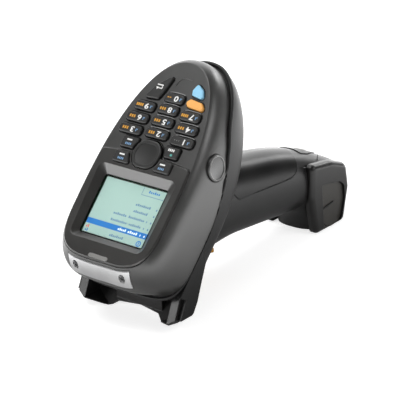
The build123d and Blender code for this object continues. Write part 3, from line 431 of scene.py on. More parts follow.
def add_bar(shape: bmesh.types.BMesh, centre: Point, size: Point, soften: float = 0.0) -> None:
    """Adds a block with softened upright edges to a bmesh.

    Args:
        shape: The bmesh, in local millimetres.
        centre: The block's middle.
        size: Its widths along the three axes.
        soften: The radius of its upright edges.
    """
    made = bmesh.ops.create_cube(shape, size=1.0)["verts"]
    bmesh.ops.scale(shape, vec=size, verts=made)
    if soften:
        upright = dict.fromkeys(e for v in made for e in v.link_edges
                                if abs(e.verts[0].co.z - e.verts[1].co.z) > size[2] / 2)
        cut = bmesh.ops.bevel(shape, geom=list(upright), offset=soften, segments=4, profile=0.5,
                              affect="EDGES", material=-1)
        made = list({v for v in made if v.is_valid} | set(cut["verts"]))
    bmesh.ops.translate(shape, vec=centre, verts=made)


def curve_mesh(curve: bpy.types.Curve) -> bpy.types.Mesh:
    """Makes a curve a mesh and removes the curve.

    Args:
        curve: The curve or text.

    Returns:
        Its mesh.
    """
    holder = linked(curve.name, curve)
    bpy.context.view_layer.update()
    seen = holder.evaluated_get(bpy.context.evaluated_depsgraph_get())
    mesh = bpy.data.meshes.new_from_object(seen)
    bpy.data.objects.remove(holder)
    bpy.data.curves.remove(curve)
    return mesh


def add_line(name: str, path: list[Vector], radius: float, finish: Finish, body: str,
             closed: bool = False, wide: list[float] | None = None) -> None:
    """Adds a thin moulded line as a piece: a smooth tube through points.

    Args:
        name: The piece's name.
        path: Points in the row frame, in metres.
        radius: The tube's radius in millimetres.
        finish: Its finish.
        body: The body that carries it.
        closed: Whether the line closes on itself.
        wide: How many times the radius each point has.
    """
    curve = bpy.data.curves.new(name, "CURVE")
    curve.dimensions = "3D"
    curve.bevel_depth = radius * MM
    curve.bevel_resolution = 3
    curve.resolution_u = 6
    curve.use_fill_caps = not closed
    line = curve.splines.new("NURBS")
    line.points.add(len(path) - 1)
    for point, place, share in zip(line.points, path, wide or [1.0] * len(path)):
        point.co = (*place, 1.0)
        point.radius = share
    line.use_cyclic_u = closed
    line.order_u = 3
    line.use_endpoint_u = not closed
    mesh = curve_mesh(curve)
    for face in mesh.polygons:
        face.use_smooth = True
    finish_piece(name, mesh, finish, body)


def dish_mesh(name: str, bottom: Vector, out: Vector, ball: float, reach: float) -> bpy.types.Mesh:
    """Makes the smooth skin of a shallow round dish.

    Args:
        name: The mesh's name.
        bottom: The dish's lowest point, in metres.
        out: The direction that the dish faces.
        ball: The radius of the ball that the dish is part of, in millimetres.
        reach: The dish's own radius in millimetres.

    Returns:
        The dish's mesh, with its skin facing out.
    """
    shape = bmesh.new()
    steps, turns = 8, 48
    line = []
    for i in range(steps + 1):
        wide = reach * i / steps
        line.append(shape.verts.new((wide, 0, ball - math.sqrt(ball * ball - wide * wide))))
    edges = [shape.edges.new(pair) for pair in zip(line, line[1:])]
    bmesh.ops.spin(shape, geom=line + edges, cent=(0, 0, 0), axis=(0, 0, 1), angle=2 * math.pi, steps=turns,
                   use_merge=True)
    turn = out.to_track_quat("Z", "Y").to_matrix().to_4x4()
    return mesh_from(shape, name, Matrix.Translation(bottom) @ turn @ Matrix.Scale(MM, 4), skin=True)


def circle(count: int) -> list[Pair]:
    """Gives evenly spread points of a circle with a radius of 1."""
    turns = [2 * math.pi * i / count for i in range(count)]
    return [(math.cos(turn), math.sin(turn)) for turn in turns]


def evenly(loop: list[Vector], count: int) -> list[Vector]:
    """Spreads points evenly along a closed line.

    Args:
        loop: The line's own points.
        count: How many points to give.

    Returns:
        The new points, in the line's order.
    """
    closed = loop + loop[:1]
    steps = [(b - a).length for a, b in zip(closed, closed[1:])]
    total = sum(steps)
    made, at, walked = [], 0, 0.0
    for i in range(count):
        goal = total * i / count
        while walked + steps[at] < goal:
            walked += steps[at]
            at += 1
        made.append(closed[at].lerp(closed[at + 1], (goal - walked) / steps[at]))
    return made


def longest_loop(edges: list[bmesh.types.BMEdge]) -> list[Vector]:
    """Walks the closed lines that edges make and gives the longest.

    Args:
        edges: The edges.

    Returns:
        The points of the longest line, in order.
    """
    links: dict[bmesh.types.BMVert, list[bmesh.types.BMVert]] = {}
    for edge in edges:
        first, last = edge.verts
        links.setdefault(first, []).append(last)
        links.setdefault(last, []).append(first)
    left, best, best_reach = dict.fromkeys(links), [], 0.0
    while left:
        loop, step = [], next(iter(left))
        while step is not None:
            del left[step]
            loop.append(step)
            step = next((v for v in links[step] if v in left), None)
        reach = sum((a.co - b.co).length for a, b in zip(loop, loop[1:]))
        if reach > best_reach:
            best, best_reach = [v.co.copy() for v in loop], reach
    return best


class Surface:
    """A CAD node's skin, for pieces that lie on it."""

    def __init__(self, *nodes: str) -> None:
        """Reads the skins of CAD nodes.

        Args:
            nodes: The names of the nodes.
        """
        verts: list[Vector] = []
        faces: list[list[int]] = []
        for node in nodes:
            mesh = frame["nodes"][node].data
            base = len(verts)
            verts += [v.co.copy() for v in mesh.vertices]
            faces += [[base + i for i in p.vertices] for p in mesh.polygons]
        self.tree = BVHTree.FromPolygons(verts, faces)

    def on(self, axes: Axes, u: float, v: float, lift: float = 0.0, start: float = 60.0) -> Vector:
        """Drops a point onto the skin against the frame's outward direction.

        Args:
            axes: The frame.
            u: Millimetres across.
            v: Millimetres along.
            lift: Millimetres above the skin.
            start: How high the point drops from, in millimetres.

        Returns:
            The point in metres.
        """
        hit = self.tree.ray_cast(axes.at(u, v, start), -axes.out)[0]
        if hit is None:
            raise ValueError(f"nothing lies under {u}, {v}")
        return hit + axes.out * (lift * MM)


def dress(finishes: dict[str, Finish]) -> None:
    """Gives CAD nodes their finishes.

    Args:
        finishes: The finish of each node, by the node's name.
    """
    for node, finish in finishes.items():
        made = frame["nodes"][node]
        for slot in made.material_slots:
            slot.material = finish.build()
        log.info("dressed %s in %s", node, finish.name)


# -------- the head

@dataclass
class HeadShell:
    """The two housings, the bezel and the trim of the head."""

    bead_points: int = 90
    bead_middle: float = 66.0
    bead_rim: float = 0.3
    bead_out: float = 1.3
    bead_radius: float = 0.95
    bead_tail: float = 1.35
    bead_limit: float = 38.45
    cap_lean: float = 7.5
    cap_face: float = 0.45
    cap_points: int = 24
    cap_ring: float = 6.7
    cap_line: float = 0.42
    cap_ball: float = 40.0
    cap_deep: float = 0.7
    cap_reach: float = 6.2
    skin: float = 0.03
    arc_line: tuple[Pair, ...] = ((-3.2, 115.9), (-2.6, 118.6), (-1.2, 120.7), (2.4, 121.6), (6.4, 120.9))
    arc_radius: float = 0.3
    arc_rise: float = 0.02

    def build(self) -> None:
        """Dresses the shells, and adds the moulded arc, a bead of painted shade in the seam, and the faces of
        the side caps in painted highlight and shade.
        """
        dress({"upper_housing": HOUSING_GREY, "lower_housing": HOUSING_DARK, "housing_seal": SEAL_AND_SEAM_SHADE,
               "display_bezel": BEZEL_GREY, "nameplate": PLATE, "nameplate_screws": SCREW,
               "side_caps": CAP_GREY, "nose_bumper": RUBBER_BUMPER, "scan_window": RED_TINT,
               "scan_engine": ENGINE_BLACK, "engine_bracket": BRACKET, "key_board": BOARD_GREEN,
               "dome_sheet": FILM, "main_board": BOARD_GREEN, "board_spacers": BRASS,
               "housing_screws": SCREW, "grip_screws": SCREW})
        self.arc()
        self.bead()
        self.cap_faces()

    def bead(self) -> None:
        """Adds a black bead in the joint between the housings, thicker at the tail: painted shade that
        darkens the seam's groove.
        """
        rings: list[list[Vector]] = [[] for _ in range(self.bead_points)]
        for spot in HEAD.spots("housing_seal"):
            turn = math.atan2(spot.x, spot.y - self.bead_middle) % (2 * math.pi)
            rings[int(turn / (2 * math.pi) * self.bead_points) % self.bead_points].append(spot)
        path, wide = [], []
        for ring in filter(None, rings):
            reach = max(math.hypot(p.x, p.y - self.bead_middle) for p in ring)
            rim = [p for p in ring if math.hypot(p.x, p.y - self.bead_middle) > reach - self.bead_rim]
            middle = sum(rim, Vector()) / len(rim)
            away = Vector((middle.x, middle.y - self.bead_middle, 0)).normalized() * self.bead_out
            spot = middle + away
            spot.x = min(max(spot.x, -self.bead_limit), self.bead_limit)
            path.append(HEAD.at(*spot))
            share = min(max((middle.y - self.bead_middle) / self.bead_middle, 0.0), 1.0)
            wide.append(1.0 + share * (self.bead_tail - 1.0))
        add_line("seam_shade_bead", path, self.bead_radius, SEAL_AND_SEAM_SHADE, "terminal", closed=True,
                 wide=wide)

    def cap_faces(self) -> None:
        """Adds the ring and the polished dish of each side cap: the ring pale grey, a painted highlight, and
        the dish darker than the cap, painted shade.
        """
        spots = [v.co.copy() for v in frame["nodes"]["side_caps"].data.vertices]
        lean = math.radians(self.cap_lean)
        for side, label in ((1, "right"), (-1, "left")):
            skin = [p for p in spots if p.x * side > 0]
            out = (Vector((side * math.cos(lean), 0, 0)) + HEAD.along * math.sin(lean)).normalized()
            top = max(p.dot(out) for p in skin)
            face = [p for p in skin if p.dot(out) > top - self.cap_face * MM]
            middle = sum(face, Vector()) / len(face)
            middle += out * (top - middle.dot(out))
            first = HEAD.out.cross(out).normalized()
            second = out.cross(first)
            ring = [middle + (first * c + second * s) * self.cap_ring * MM
                    for c, s in circle(self.cap_points)]
            add_line(f"cap_ring_{label}", ring, self.cap_line, RIDGE_HIGHLIGHT_GREY, "terminal",
                     closed=True)
            name = f"cap_dish_{label}"
            bottom = middle - out * (self.cap_deep - self.skin) * MM
            finish_piece(name, dish_mesh(name, bottom, out, self.cap_ball, self.cap_reach), CAP_DISH_SHADE,
                         "terminal")

    def arc(self) -> None:
        """Adds the thin raised arc that is moulded above the keys."""
        skin = Surface("upper_housing")
        path = [skin.on(HEAD, u, v, self.arc_rise) for u, v in self.arc_line]
        add_line("moulded_arc_0", path, self.arc_radius, HOUSING_GREY, "terminal")


@dataclass
class Display:
    """The window, the lit panel and what the panel shows."""

    half: float = 22.6
    low: float = 21.4
    high: float = 55.8
    edge: float = 0.4
    panel_top: float = -2.9
    ink: float = 0.02
    choice_v: float = 28.5
    choice_high: float = 3.3
    text_high: float = 1.5
    text_pitch: float = 1.35
    stroke_share: float = 0.62
    low_stroke: float = 0.72
    tab_left: float = 6.0
    tab_low: float = 50.8
    tab_line: float = 0.25
    sign_at: Pair = (19.2, 23.5)
    sign_radius: float = 1.75
    sign_hole: float = 0.66
    sign_bar: Pair = (0.6, 1.8)

    def build(self) -> None:
        """Dresses the display and adds its picture of plain bars."""
        dress({"display_window": CLEAR, "lcd_module": LCD_FRAME, "lamp_lens": LAMP})
        wide, middle = self.half * 2 - self.edge, (self.low + self.high) / 2
        self.patch("panel_light", LCD_GREEN, [((0, middle), (wide, self.high - self.low - self.edge))], 0)
        self.patch("panel_selection", LCD_BLUE, [((0, self.choice_v), (wide, self.choice_high))], 1)
        words = {
            "panel_title": (LCD_TEXT, 23.8, [(-2.8, 7.6)]),
            "panel_choice": (LCD_WHITE, self.choice_v, [(1.0, 7.2), (8.4, 15.6), (17.4, 18.2), (20.2, 21.4)]),
            "panel_row_1": (LCD_TEXT, 32.7, [(-6.8, 5.4), (6.8, 15.8), (17.6, 18.4), (20.4, 21.6)]),
            "panel_row_2": (LCD_TEXT, 36.7, [(-7.0, 3.0), (4.4, 16.2), (17.6, 18.4), (20.4, 21.6)]),
            "panel_row_3": (LCD_TEXT, 40.7, [(5.8, 16.4), (20.4, 21.6)]),
            "panel_row_4": (LCD_TEXT, 44.6, [(5.3, 16.6), (20.4, 21.6)]),
            "panel_menu": (LCD_BLUE, 53.4, [(10.2, 18.6)]),
            "panel_warning": (LCD_RED, 25.2, [(-21.4, -18.8)]),
            "panel_level": (LCD_BLUE, 22.9, [(-21.0, -18.6)]),
        }
        for name, (finish, v, spans) in words.items():
            self.words(name, finish, v, spans)
        self.outline()
        self.mark()

    def patch(self, name: str, finish: Finish, boxes: list[tuple[Pair, Pair]], layer: int) -> None:
        """Adds flat patches on the panel.

        Args:
            name: The piece's name.
            finish: Its finish.
            boxes: Middle and size of each patch.
            layer: How many inks lie under it.
        """
        shape = bmesh.new()
        for (u, v), (wide, high) in boxes:
            add_bar(shape, (u, v, self.panel_top + self.ink * (layer + 0.5)), (wide, high, self.ink))
        finish_piece(name, mesh_from(shape, name, HEAD.matrix()), finish, "terminal")

    def words(self, name: str, finish: Finish, v: float, spans: list[Pair]) -> None:
        """Adds a row of word-like strokes, every third of them tall.

        Args:
            name: The piece's name.
            finish: Its finish.
            v: The row's place along the face.
            spans: Start and end of each word across the face.
        """
        boxes: list[tuple[Pair, Pair]] = []
        for start, end in spans:
            count = max(1, round((end - start) / self.text_pitch))
            step = (end - start) / count
            for i in range(count):
                tall = self.text_high * (1.0 if (i + count) % 3 == 0 else self.low_stroke)
                middle = start + step * (i + 0.5)
                boxes.append(((middle, v - (self.text_high - tall) / 2), (step * self.stroke_share, tall)))
        self.patch(name, finish, boxes, 2)

    def outline(self) -> None:
        """Adds the thin outline of the menu tab."""
        left, right, low, high = self.tab_left, self.half - self.edge, self.tab_low, self.high - self.edge
        sides = [(((left + right) / 2, low), (right - left, self.tab_line)),
                 ((left, (low + high) / 2), (self.tab_line, high - low))]
        self.patch("panel_menu_outline", LCD_TEXT, sides, 1)

    def mark(self) -> None:
        """Adds the round sign at the corner of the panel."""
        shape = bmesh.new()
        where = Matrix.Translation((*self.sign_at, self.panel_top + self.ink * 3))
        bmesh.ops.create_circle(shape, cap_ends=False, radius=self.sign_radius, segments=32, matrix=where)
        inner = bmesh.ops.extrude_edge_only(shape, edges=shape.edges[:])["geom"]
        moved = [g for g in inner if isinstance(g, bmesh.types.BMVert)]
        bmesh.ops.scale(shape, vec=(self.sign_hole, self.sign_hole, 1.0), space=where.inverted(), verts=moved)
        bmesh.ops.solidify(shape, geom=shape.faces[:], thickness=self.ink)
        add_bar(shape, (*self.sign_at, self.panel_top + self.ink * 2.5), (*self.sign_bar, self.ink))
        finish_piece("panel_sign", mesh_from(shape, "panel_sign", HEAD.matrix()), LCD_BLUE, "terminal")


# -------- the keys

# the letter strokes of a number key: how many, their pitch, and the width and height of each
PLAIN_DASHES = (3, 1.55, 1.0, 1.7)
DASHES = {"0": (2, 1.55, 1.1, 0.6), "1": (3, 1.55, 0.5, 0.5), "7": (4, 1.3, 1.0, 1.7),
          "9": (4, 1.3, 1.0, 1.7)}


@dataclass
class Keypad:
    """The keys with their printed legends, and the rocker."""

    top: float = 1.5
    soft_top: float = 2.3
    top_depth: float = 0.3
    ink: float = 0.03
    ink_soften: float = 0.25
    digit_size: float = 4.6
    digit_stretch: float = 1.3
    digit_bolder: float = 0.026
    digit_u: float = 1.7
    letters_u: float = -3.5
    mark: tuple[Stroke, ...] = ((4.6, -0.2, 0.5, 1.7), (5.4, 0.3, 0.35, 0.9))
    enter_sign: tuple[Stroke, ...] = ((0.4, 1.4, 4.4, 0.75), (0.9, -0.6, 3.0, 0.6), (2.25, 0.05, 0.6, 1.4))
    enter_arrow: Pair = (-1.0, -0.6)
    arrow_radius: float = 1.1
    soft_bar: tuple[Stroke, ...] = ((-0.4, 1.3, 3.8, 0.9),)
    soft_strokes: tuple[Stroke, ...] = tuple((-2.0 + i * 1.15, -1.2, 0.7, 1.3) for i in range(4))
    tab_bar: tuple[Stroke, ...] = tuple((-1.8 + i * 1.2, 1.4, 0.8, 1.5) for i in range(4))
    tab_strokes: tuple[Stroke, ...] = ((1.2, -1.4, 1.5, 1.3),)
    cut_rise: float = 0.3
    hole_gap: float = 0.36
    rocker_gap: float = 0.61
    rocker_rise: float = 2.0
    rocker_deep: float = 0.7
    rocker_ball: float = 60.0
    rocker_reach: float = 5.2
    gap_shade_points: int = 56
    gap_shade_radius: float = 0.27
    gap_shade_sink: float = -0.14
    ridge_off: float = 1.05
    ridge_short: float = 1.4
    ridge_bend: float = 2.2
    ridge_drop: float = 0.45
    ridge_crown: float = 0.1
    ridge_radius: float = 0.30
    ridge_sink: float = -0.08

    def build(self) -> None:
        """Dresses and prints the keys, and adds black rings of painted shade in the gaps, pale ridges with a
        painted highlight and the rocker's dish.
        """
        for digit in "0123456789":
            dress({f"key_{digit}": KEY_DARK})
            self.number_key(digit)
        dress({"key_enter": KEY_DARK, "key_soft_upper_left": KEY_DARK, "key_soft_upper_right": KEY_DARK,
               "key_soft_lower_left": KEY_DARK, "key_soft_lower_right": KEY_DARK, "key_blue": KEY_BLUE,
               "key_orange": KEY_ORANGE, "nav_pad": KEY_DARK, "nav_gimbal": NYLON_GREY,
               "nav_cradle": NYLON_GREY})
        self.enter_key()
        self.soft_keys()
        self.surrounds()
        self.ridges()
        bottom = HEAD.at(0, NAV_V, self.rocker_rise - self.rocker_deep + self.ink)
        finish_piece("rocker_dish", dish_mesh("rocker_dish", bottom, HEAD.out, self.rocker_ball,
                                              self.rocker_reach), KEY_DARK, "nav_rocker")

    def section(self, node: str) -> list[Vector]:
        """Cuts a key just above the face and gives the loop of its outline.

        Args:
            node: The key's node.

        Returns:
            The outline's points in the head's frame, in order.
        """
        shape = bmesh.new()
        shape.from_mesh(frame["nodes"][node].data)
        bmesh.ops.transform(shape, matrix=HEAD.matrix().inverted(), verts=shape.verts)
        bmesh.ops.remove_doubles(shape, verts=shape.verts, dist=CAD_MERGE)
        parts = shape.verts[:] + shape.edges[:] + shape.faces[:]
        cut = bmesh.ops.bisect_plane(shape, geom=parts, plane_co=(0, 0, self.cut_rise), plane_no=(0, 0, 1),
                                     clear_inner=True, clear_outer=True)["geom_cut"]
        points = longest_loop([g for g in cut if isinstance(g, bmesh.types.BMEdge)])
        shape.free()
        return points

    def surrounds(self) -> None:
        """Adds a thin black ring round the rocker and round all keys but the two lower soft ones: painted
        shade in the gap round each.
        """
        named = ["enter", "blue", "orange", "soft_upper_left", "soft_upper_right"]
        for node in [f"key_{label}" for label in [*"0123456789", *named]] + ["nav_pad"]:
            gap = self.rocker_gap if node == "nav_pad" else self.hole_gap
            spots = evenly(self.section(node), self.gap_shade_points)
            later = spots[1:] + spots[:1]
            turn = sum(a.x * b.y - b.x * a.y for a, b in zip(spots, later))
            path = []
            for before, here, after in zip(spots[-1:] + spots[:-1], spots, later):
                away = Vector((after.y - before.y, before.x - after.x, 0)).normalized()
                outer = here + away * math.copysign(gap + self.gap_shade_radius, turn)
                path.append(HEAD.at(outer.x, outer.y, self.gap_shade_sink))
            add_line(f"{node}_gap_shade", path, self.gap_shade_radius, GAP_SHADE_BLACK, "terminal",
                     closed=True)

    def ridges(self) -> None:
        """Adds the thin ridges that are moulded above the number keys, pale grey: a painted highlight along
        each.
        """
        for digit in "1245780":
            points = self.section(f"key_{digit}")
            left, right = min(p.x for p in points), max(p.x for p in points)
            end, bend = self.ridge_short, self.ridge_short * self.ridge_bend
            top = max(p.y for p in points) + self.ridge_off
            line = ((left + end, top - self.ridge_drop), (left + bend, top),
                    ((left + right) / 2, top + self.ridge_crown), (right - bend, top),
                    (right - end, top - self.ridge_drop))
            path = [HEAD.at(u, v, self.ridge_sink) for u, v in line]
            add_line(f"key_{digit}_ridge", path, self.ridge_radius, RIDGE_HIGHLIGHT_GREY, "terminal")

    def centre(self, node: str) -> Pair:
        """Gives the middle of a key's top in the head's frame.

        Args:
            node: The key's node.

        Returns:
            Its u and v in millimetres.
        """
        spots = HEAD.spots(node)
        high = max(p.z for p in spots)
        top = [p for p in spots if p.z > high - self.top_depth]
        us, vs = [p.x for p in top], [p.y for p in top]
        return ((min(us) + max(us)) / 2, (min(vs) + max(vs)) / 2)

    def print_bars(self, node: str, label: str, finish: Finish, strokes: tuple[Stroke, ...],
                   top: float) -> None:
        """Prints a group of small strokes on a key.

        Args:
            node: The key's node.
            label: What the print stands for.
            finish: The ink.
            strokes: The strokes.
            top: The height of the key's top.
        """
        u, v = self.centre(node)
        shape = bmesh.new()
        for du, dv, wide, high in strokes:
            add_bar(shape, (u + du, v + dv, top + self.ink / 2), (wide, high, self.ink),
                    soften=min(wide, high) * self.ink_soften)
        name = f"{node}_{label}"
        finish_piece(name, mesh_from(shape, name, HEAD.matrix()), finish, f"{node}_body")

    def number_key(self, digit: str) -> None:
        """Prints a number key: the digit, letter dashes to one side and a small mark to the other.

        Args:
            digit: The key's digit.
        """
        node, name = f"key_{digit}", f"key_{digit}_digit"
        u, v = self.centre(node)
        where = Matrix.Translation((u + self.digit_u, v, self.top + self.ink / 2)) @ TURNED
        where = HEAD.matrix() @ where @ Matrix.Diagonal((self.digit_stretch, 1.0, 1.0, 1.0))
        curve = bpy.data.curves.new(name, "FONT")
        curve.body = digit
        curve.size = self.digit_size
        curve.extrude = self.ink / 2
        curve.offset = self.digit_size * self.digit_bolder
        curve.align_x = curve.align_y = "CENTER"
        curve.resolution_u = 4
        mesh = curve_mesh(curve)
        mesh.transform(where)
        finish_piece(name, mesh, INK_WHITE, f"{node}_body")
        count, pitch, wide, high = DASHES.get(digit, PLAIN_DASHES)
        first = self.letters_u - (count - 1) / 2 * pitch
        dashes = tuple((first + i * pitch, 0.0, wide, high) for i in range(count))
        self.print_bars(node, "letters", INK_GREY if digit == "1" else INK_ORANGE, dashes, self.top)
        self.print_bars(node, "mark", INK_BLUE, self.mark, self.top)

    def enter_key(self) -> None:
        """Prints the enter key with a bar and a return arrow."""
        node, name = "key_enter", "key_enter_arrow"
        self.print_bars(node, "sign", INK_WHITE, self.enter_sign, self.top)
        u, v = self.centre(node)
        du, dv = self.enter_arrow
        shape = bmesh.new()
        where = Matrix.Translation((u + du, v + dv, self.top + self.ink / 2)) @ TURNED
        bmesh.ops.create_cone(shape, cap_ends=True, segments=3, radius1=self.arrow_radius,
                              radius2=self.arrow_radius, depth=self.ink, matrix=where)
        finish_piece(name, mesh_from(shape, name, HEAD.matrix()), INK_WHITE, f"{node}_body")

    def soft_keys(self) -> None:
        """Prints the four function keys with a bar and small strokes."""
        for node, top in (("key_soft_upper_left", self.top), ("key_soft_lower_left", self.soft_top),
                          ("key_soft_lower_right", self.soft_top)):
            self.print_bars(node, "bar", INK_WHITE, self.soft_bar, top)
            self.print_bars(node, "strokes", INK_BLUE, self.soft_strokes, top)
        self.print_bars("key_soft_upper_right", "bar", INK_WHITE, self.tab_bar, self.top)
        self.print_bars("key_soft_upper_right", "strokes", INK_TEAL, self.tab_strokes, self.top)


# -------- the grip

@dataclass
class GripEnd:
    """The grip, its pad, trigger, latch and foot."""

    ring_v: float = 80.6
    ring_radius: float = 3.1
    ring_squash: float = 0.8
    ring_line: float = 0.55
    ring_points: int = 20
    far: float = 60.0
    groove_line: tuple[Pair, ...] = ((-4.6, 12.0), (-2.0, 8.2), (3.4, 5.0), (20.0, 6.2), (37.0, 7.6),
                                     (50.5, 8.7), (56.0, 10.2), (59.4, 13.2), (61.2, 17.3), (62.0, 19.4))
    groove_end: float = 62.6
    groove_radius: float = 0.45
    panel_x: float = 19.1
    panel_flat: float = 0.02
    panel_skin: float = 0.06
    panel_line: float = 0.22

    def build(self) -> None:
        """Dresses the grip's pieces, and adds the button's ring, a line of painted shade round the pad and
        the finger panels.
        """
        dress({"grip_shell": GRIP_DARK, "grip_pad": RUBBER_PAD, "trigger": AMBER, "trigger_pin": SCREW,
               "trigger_spring": SPRING, "trigger_switch": SWITCH_BLACK, "battery_pack": CELL_WRAP,
               "battery_foot": GRIP_DARK, "foot_blocks": FOOT_DARK, "battery_contacts": GILT,
               "battery_latch": LATCH_BLACK, "latch_spring": SPRING})
        self.sign()
        self.groove()
        self.panels()

    def sign(self) -> None:
        """Adds the white ring that is printed on the release button."""
        skin = Surface("battery_latch")
        ring = [skin.on(GRIP, self.ring_radius * c, self.ring_v + self.ring_radius * self.ring_squash * s)
                for c, s in circle(self.ring_points)]
        add_line("release_ring", ring, self.ring_line, INK_WHITE, "battery_release",
                 closed=True)

    def groove(self) -> None:
        """Adds a narrow black line round the rubber pad: painted shade in the groove between the pad and the
        shell.
        """
        skin = Surface("grip_pad", "grip_shell")
        right, left = [[skin.tree.ray_cast(GRIP.at(side * self.far, v, w), -side * GRIP.across)[0]
                        for v, w in self.groove_line] for side in (1, -1)]
        path = [*right, skin.on(GRIP, 0.0, self.groove_end), *reversed(left)]
        add_line("pad_groove_shade", path, self.groove_radius, GAP_SHADE_BLACK, "terminal")

    def panels(self) -> None:
        """Adds the textured floors of the sunk finger panels and a dark line round each: painted shade in the
        gap at the panel's edge.
        """
        for side, label in ((1, "right"), (-1, "left")):
            shape = bmesh.new()
            shape.from_mesh(frame["nodes"]["foot_blocks"].data)
            bmesh.ops.remove_doubles(shape, verts=shape.verts, dist=CAD_MERGE * MM)
            level, flat = side * self.panel_x * MM, self.panel_flat * MM
            far = [f for f in shape.faces if any(abs(v.co.x - level) > flat for v in f.verts)]
            bmesh.ops.delete(shape, geom=far, context="FACES")
            line = longest_loop([e for e in shape.edges if e.is_boundary])
            add_line(f"foot_panel_shade_line_{label}", line, self.panel_line, GAP_SHADE_BLACK, "battery",
                     closed=True)
            bmesh.ops.translate(shape, vec=(side * self.panel_skin * MM, 0, 0), verts=shape.verts)
            bmesh.ops.solidify(shape, geom=shape.faces[:], thickness=self.panel_skin * MM)
            name = f"foot_panel_{label}"
            made = bpy.data.meshes.new(name)
            shape.to_mesh(made)
            shape.free()
            finish_piece(name, made, PANEL_GREY, "battery")


# -------- the stage

@dataclass(frozen=True)
class SoftBox:
    """A square soft box: where it hangs, where it aims, its side in metres and its watts."""

    name: str
    place: Point
    aim: Point
    side: float
    watts: float


@dataclass(frozen=True)
class Ramp:
    """A level that runs from one value to another over a span."""

    start: float
    end: float
    low: float
    high: float

    def settings(self) -> dict[str, float]:
        """Gives the span and the two levels as settings of a map range."""
        return {"From Min": self.start, "From Max": self.end, "To Min": self.low, "To Max": self.high}


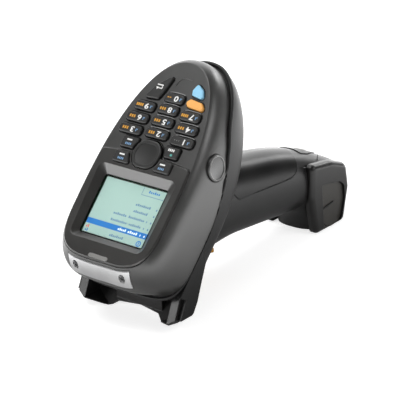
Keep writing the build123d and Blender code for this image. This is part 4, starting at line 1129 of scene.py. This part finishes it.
@dataclass
class Stage:
    """The floor, the lamps and the camera."""

    lens: float = 206.83
    sensor: float = 36.0
    clip: Pair = (0.05, 30.0)
    eye: Point = (0.82321, -0.79711, 0.56777)
    right: Point = (0.75116, 0.65667, -0.06733)
    up: Point = (-0.21393, 0.33866, 0.91627)
    back: Point = (0.62449, -0.67386, 0.39487)
    floor_half: float = 6.0
    floor_colour: str = "#d6d6d6"
    floor_oval: Point = (1.0, 0.6, 1.0)
    floor_glow: Ramp = Ramp(0.10, 0.45, 0.70, 1.0)
    floor_shine: Ramp = Ramp(0.09, 0.24, 0.12, 3.4)
    floor_fade: Ramp = Ramp(0.45, 0.90, 1.0, 0.3)
    bright_side: Point = (-0.62, 0.74, 0.26)
    card: Ramp = Ramp(0.5, 0.98, 0.12, 2.8)
    ambient: float = 0.30
    white: str = "#ffffff"
    boxes: tuple[SoftBox, ...] = (
        SoftBox("key_box", (-0.50, -0.30, 1.25), (0.0, -0.03, 0.07), 0.5, 7.0),
        SoftBox("back_box", (0.0, 1.17, 0.58), (0.0, 0.0, 0.08), 0.35, 3.0),
        SoftBox("side_box", (0.95, 0.30, 0.75), (0.0, 0.0, 0.08), 0.5, 4.0),
        SoftBox("front_box", (-0.75, -1.0, 0.32), (0.0, -0.05, 0.05), 0.45, 6.0),
        SoftBox("chin_box", (0.35, -1.3, 0.40), (0.0, -0.05, 0.05), 0.35, 2.0),
    )

    def build(self) -> None:
        """Makes the floor, the world, the lamps and the camera."""
        self.floor()
        self.world()
        self.lamps()
        self.camera()

    def floor(self) -> None:
        """Makes a wide pale floor: it keeps the shadow, reads white to the camera and, to polished
        surfaces, is dark near the object and bright farther off.
        """
        shape = bmesh.new()
        bmesh.ops.create_grid(shape, x_segments=2, y_segments=2, size=self.floor_half)
        made = linked("floor", mesh_from(shape, "floor", Matrix.Identity(4)))
        paint = bpy.data.materials.new("matt_white_paper")
        tree = fresh_tree(paint)
        ray = add(tree, "ShaderNodeLightPath")
        place = add(tree, "ShaderNodeTexCoord").outputs["Object"]
        oval = add(tree, "ShaderNodeMapping", {"Scale": self.floor_oval}, {"Vector": place})
        away = add(tree, "ShaderNodeVectorMath", {"operation": "LENGTH"}, {0: oval.outputs["Vector"]})
        far = {"Value": away.outputs["Value"]}
        shine, fade, pale = [add(tree, "ShaderNodeMapRange", ramp.settings(), far)
                             for ramp in (self.floor_shine, self.floor_fade, self.floor_glow)]
        shine = add(tree, "ShaderNodeMath", {"operation": "MULTIPLY"},
                    {0: shine.outputs["Result"], 1: fade.outputs["Result"]})
        level = add(tree, "ShaderNodeMix", {"data_type": "FLOAT"},
                    {"Factor": ray.outputs["Is Glossy Ray"], "A": pale.outputs["Result"],
                     "B": shine.outputs[0]})
        seen = ray.outputs["Is Camera Ray"]
        for kind in ("Is Glossy Ray", "Is Transmission Ray"):
            seen = add(tree, "ShaderNodeMath", {"operation": "MAXIMUM"},
                       {0: seen, 1: ray.outputs[kind]}).outputs[0]
        matt = add(tree, "ShaderNodeBsdfDiffuse", {"Color": linear(self.floor_colour)})
        glow = add(tree, "ShaderNodeEmission", {"Color": linear(self.white)}, {"Strength": level.outputs[0]})
        both = add(tree, "ShaderNodeAddShader", links={0: matt.outputs[0], 1: glow.outputs[0]})
        mix = add(tree, "ShaderNodeMixShader",
                  links={0: seen, 1: matt.outputs[0], 2: both.outputs[0]})
        add(tree, "ShaderNodeOutputMaterial", links={"Surface": mix.outputs[0]})
        made.data.materials.append(paint)

    def world(self) -> None:
        """Makes a soft world: even as light, white to the camera and, to polished surfaces, dark with
        one bright side.
        """
        sky = bpy.data.worlds.new("studio")
        bpy.context.scene.world = sky
        tree = fresh_tree(sky)
        ray = add(tree, "ShaderNodeLightPath")
        side = add(tree, "ShaderNodeTexCoord").outputs["Generated"]
        facing = add(tree, "ShaderNodeVectorMath", {"operation": "DOT_PRODUCT", 1: self.bright_side},
                     {0: side})
        level = add(tree, "ShaderNodeMapRange", {"interpolation_type": "SMOOTHSTEP", **self.card.settings()},
                    {"Value": facing.outputs["Value"]})
        power = add(tree, "ShaderNodeMix", {"data_type": "FLOAT", "A": self.ambient},
                    {"Factor": ray.outputs["Is Glossy Ray"], "B": level.outputs["Result"]})
        seen = add(tree, "ShaderNodeMath", {"operation": "MAXIMUM"},
                   {0: ray.outputs["Is Camera Ray"], 1: ray.outputs["Is Transmission Ray"]})
        shade = add(tree, "ShaderNodeBackground", {"Color": linear(self.white)},
                    {"Strength": power.outputs[0]})
        white = add(tree, "ShaderNodeBackground", {"Color": linear(self.white), "Strength": 1.0})
        mix = add(tree, "ShaderNodeMixShader",
                  links={0: seen.outputs[0], 1: shade.outputs[0], 2: white.outputs[0]})
        add(tree, "ShaderNodeOutputWorld", links={"Surface": mix.outputs[0]})

    def lamps(self) -> None:
        """Makes the soft boxes."""
        for box in self.boxes:
            lamp = bpy.data.lights.new(box.name, "AREA")
            lamp.shape = "SQUARE"
            lamp.size = box.side
            lamp.energy = box.watts
            made = linked(box.name, lamp)
            made.location = box.place
            made.rotation_mode = "QUATERNION"
            made.rotation_quaternion = (Vector(box.aim) - Vector(box.place)).to_track_quat("-Z", "Y")

    def camera(self) -> None:
        """Makes the camera at the angle of the product view."""
        lens = bpy.data.cameras.new("camera")
        lens.lens = self.lens
        lens.sensor_width = self.sensor
        lens.clip_start, lens.clip_end = self.clip
        made = linked("camera", lens)
        turn = Matrix((self.right, self.up, self.back)).transposed().to_4x4()
        made.matrix_world = Matrix.Translation(Vector(self.eye) + Vector((0, HEAD.origin.y, 0))) @ turn
        bpy.context.scene.camera = made


def clear_defaults() -> None:
    """Removes what a new file holds beside the frame."""
    for thing in list(bpy.data.objects):
        if "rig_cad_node" not in thing and not thing.name.startswith("body:"):
            bpy.data.objects.remove(thing)
    bpy.context.view_layer.update()


def main() -> None:
    """Builds the looks in order."""
    logging.basicConfig(level=logging.INFO, format="%(name)s %(message)s")
    bpy.context.scene.view_settings.view_transform = "Standard"
    clear_defaults()
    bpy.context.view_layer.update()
    Stage().build()
    HeadShell().build()
    Display().build()
    Keypad().build()
    GripEnd().build()
    bpy.context.view_layer.update()


if __name__ == "__main__":
    main()
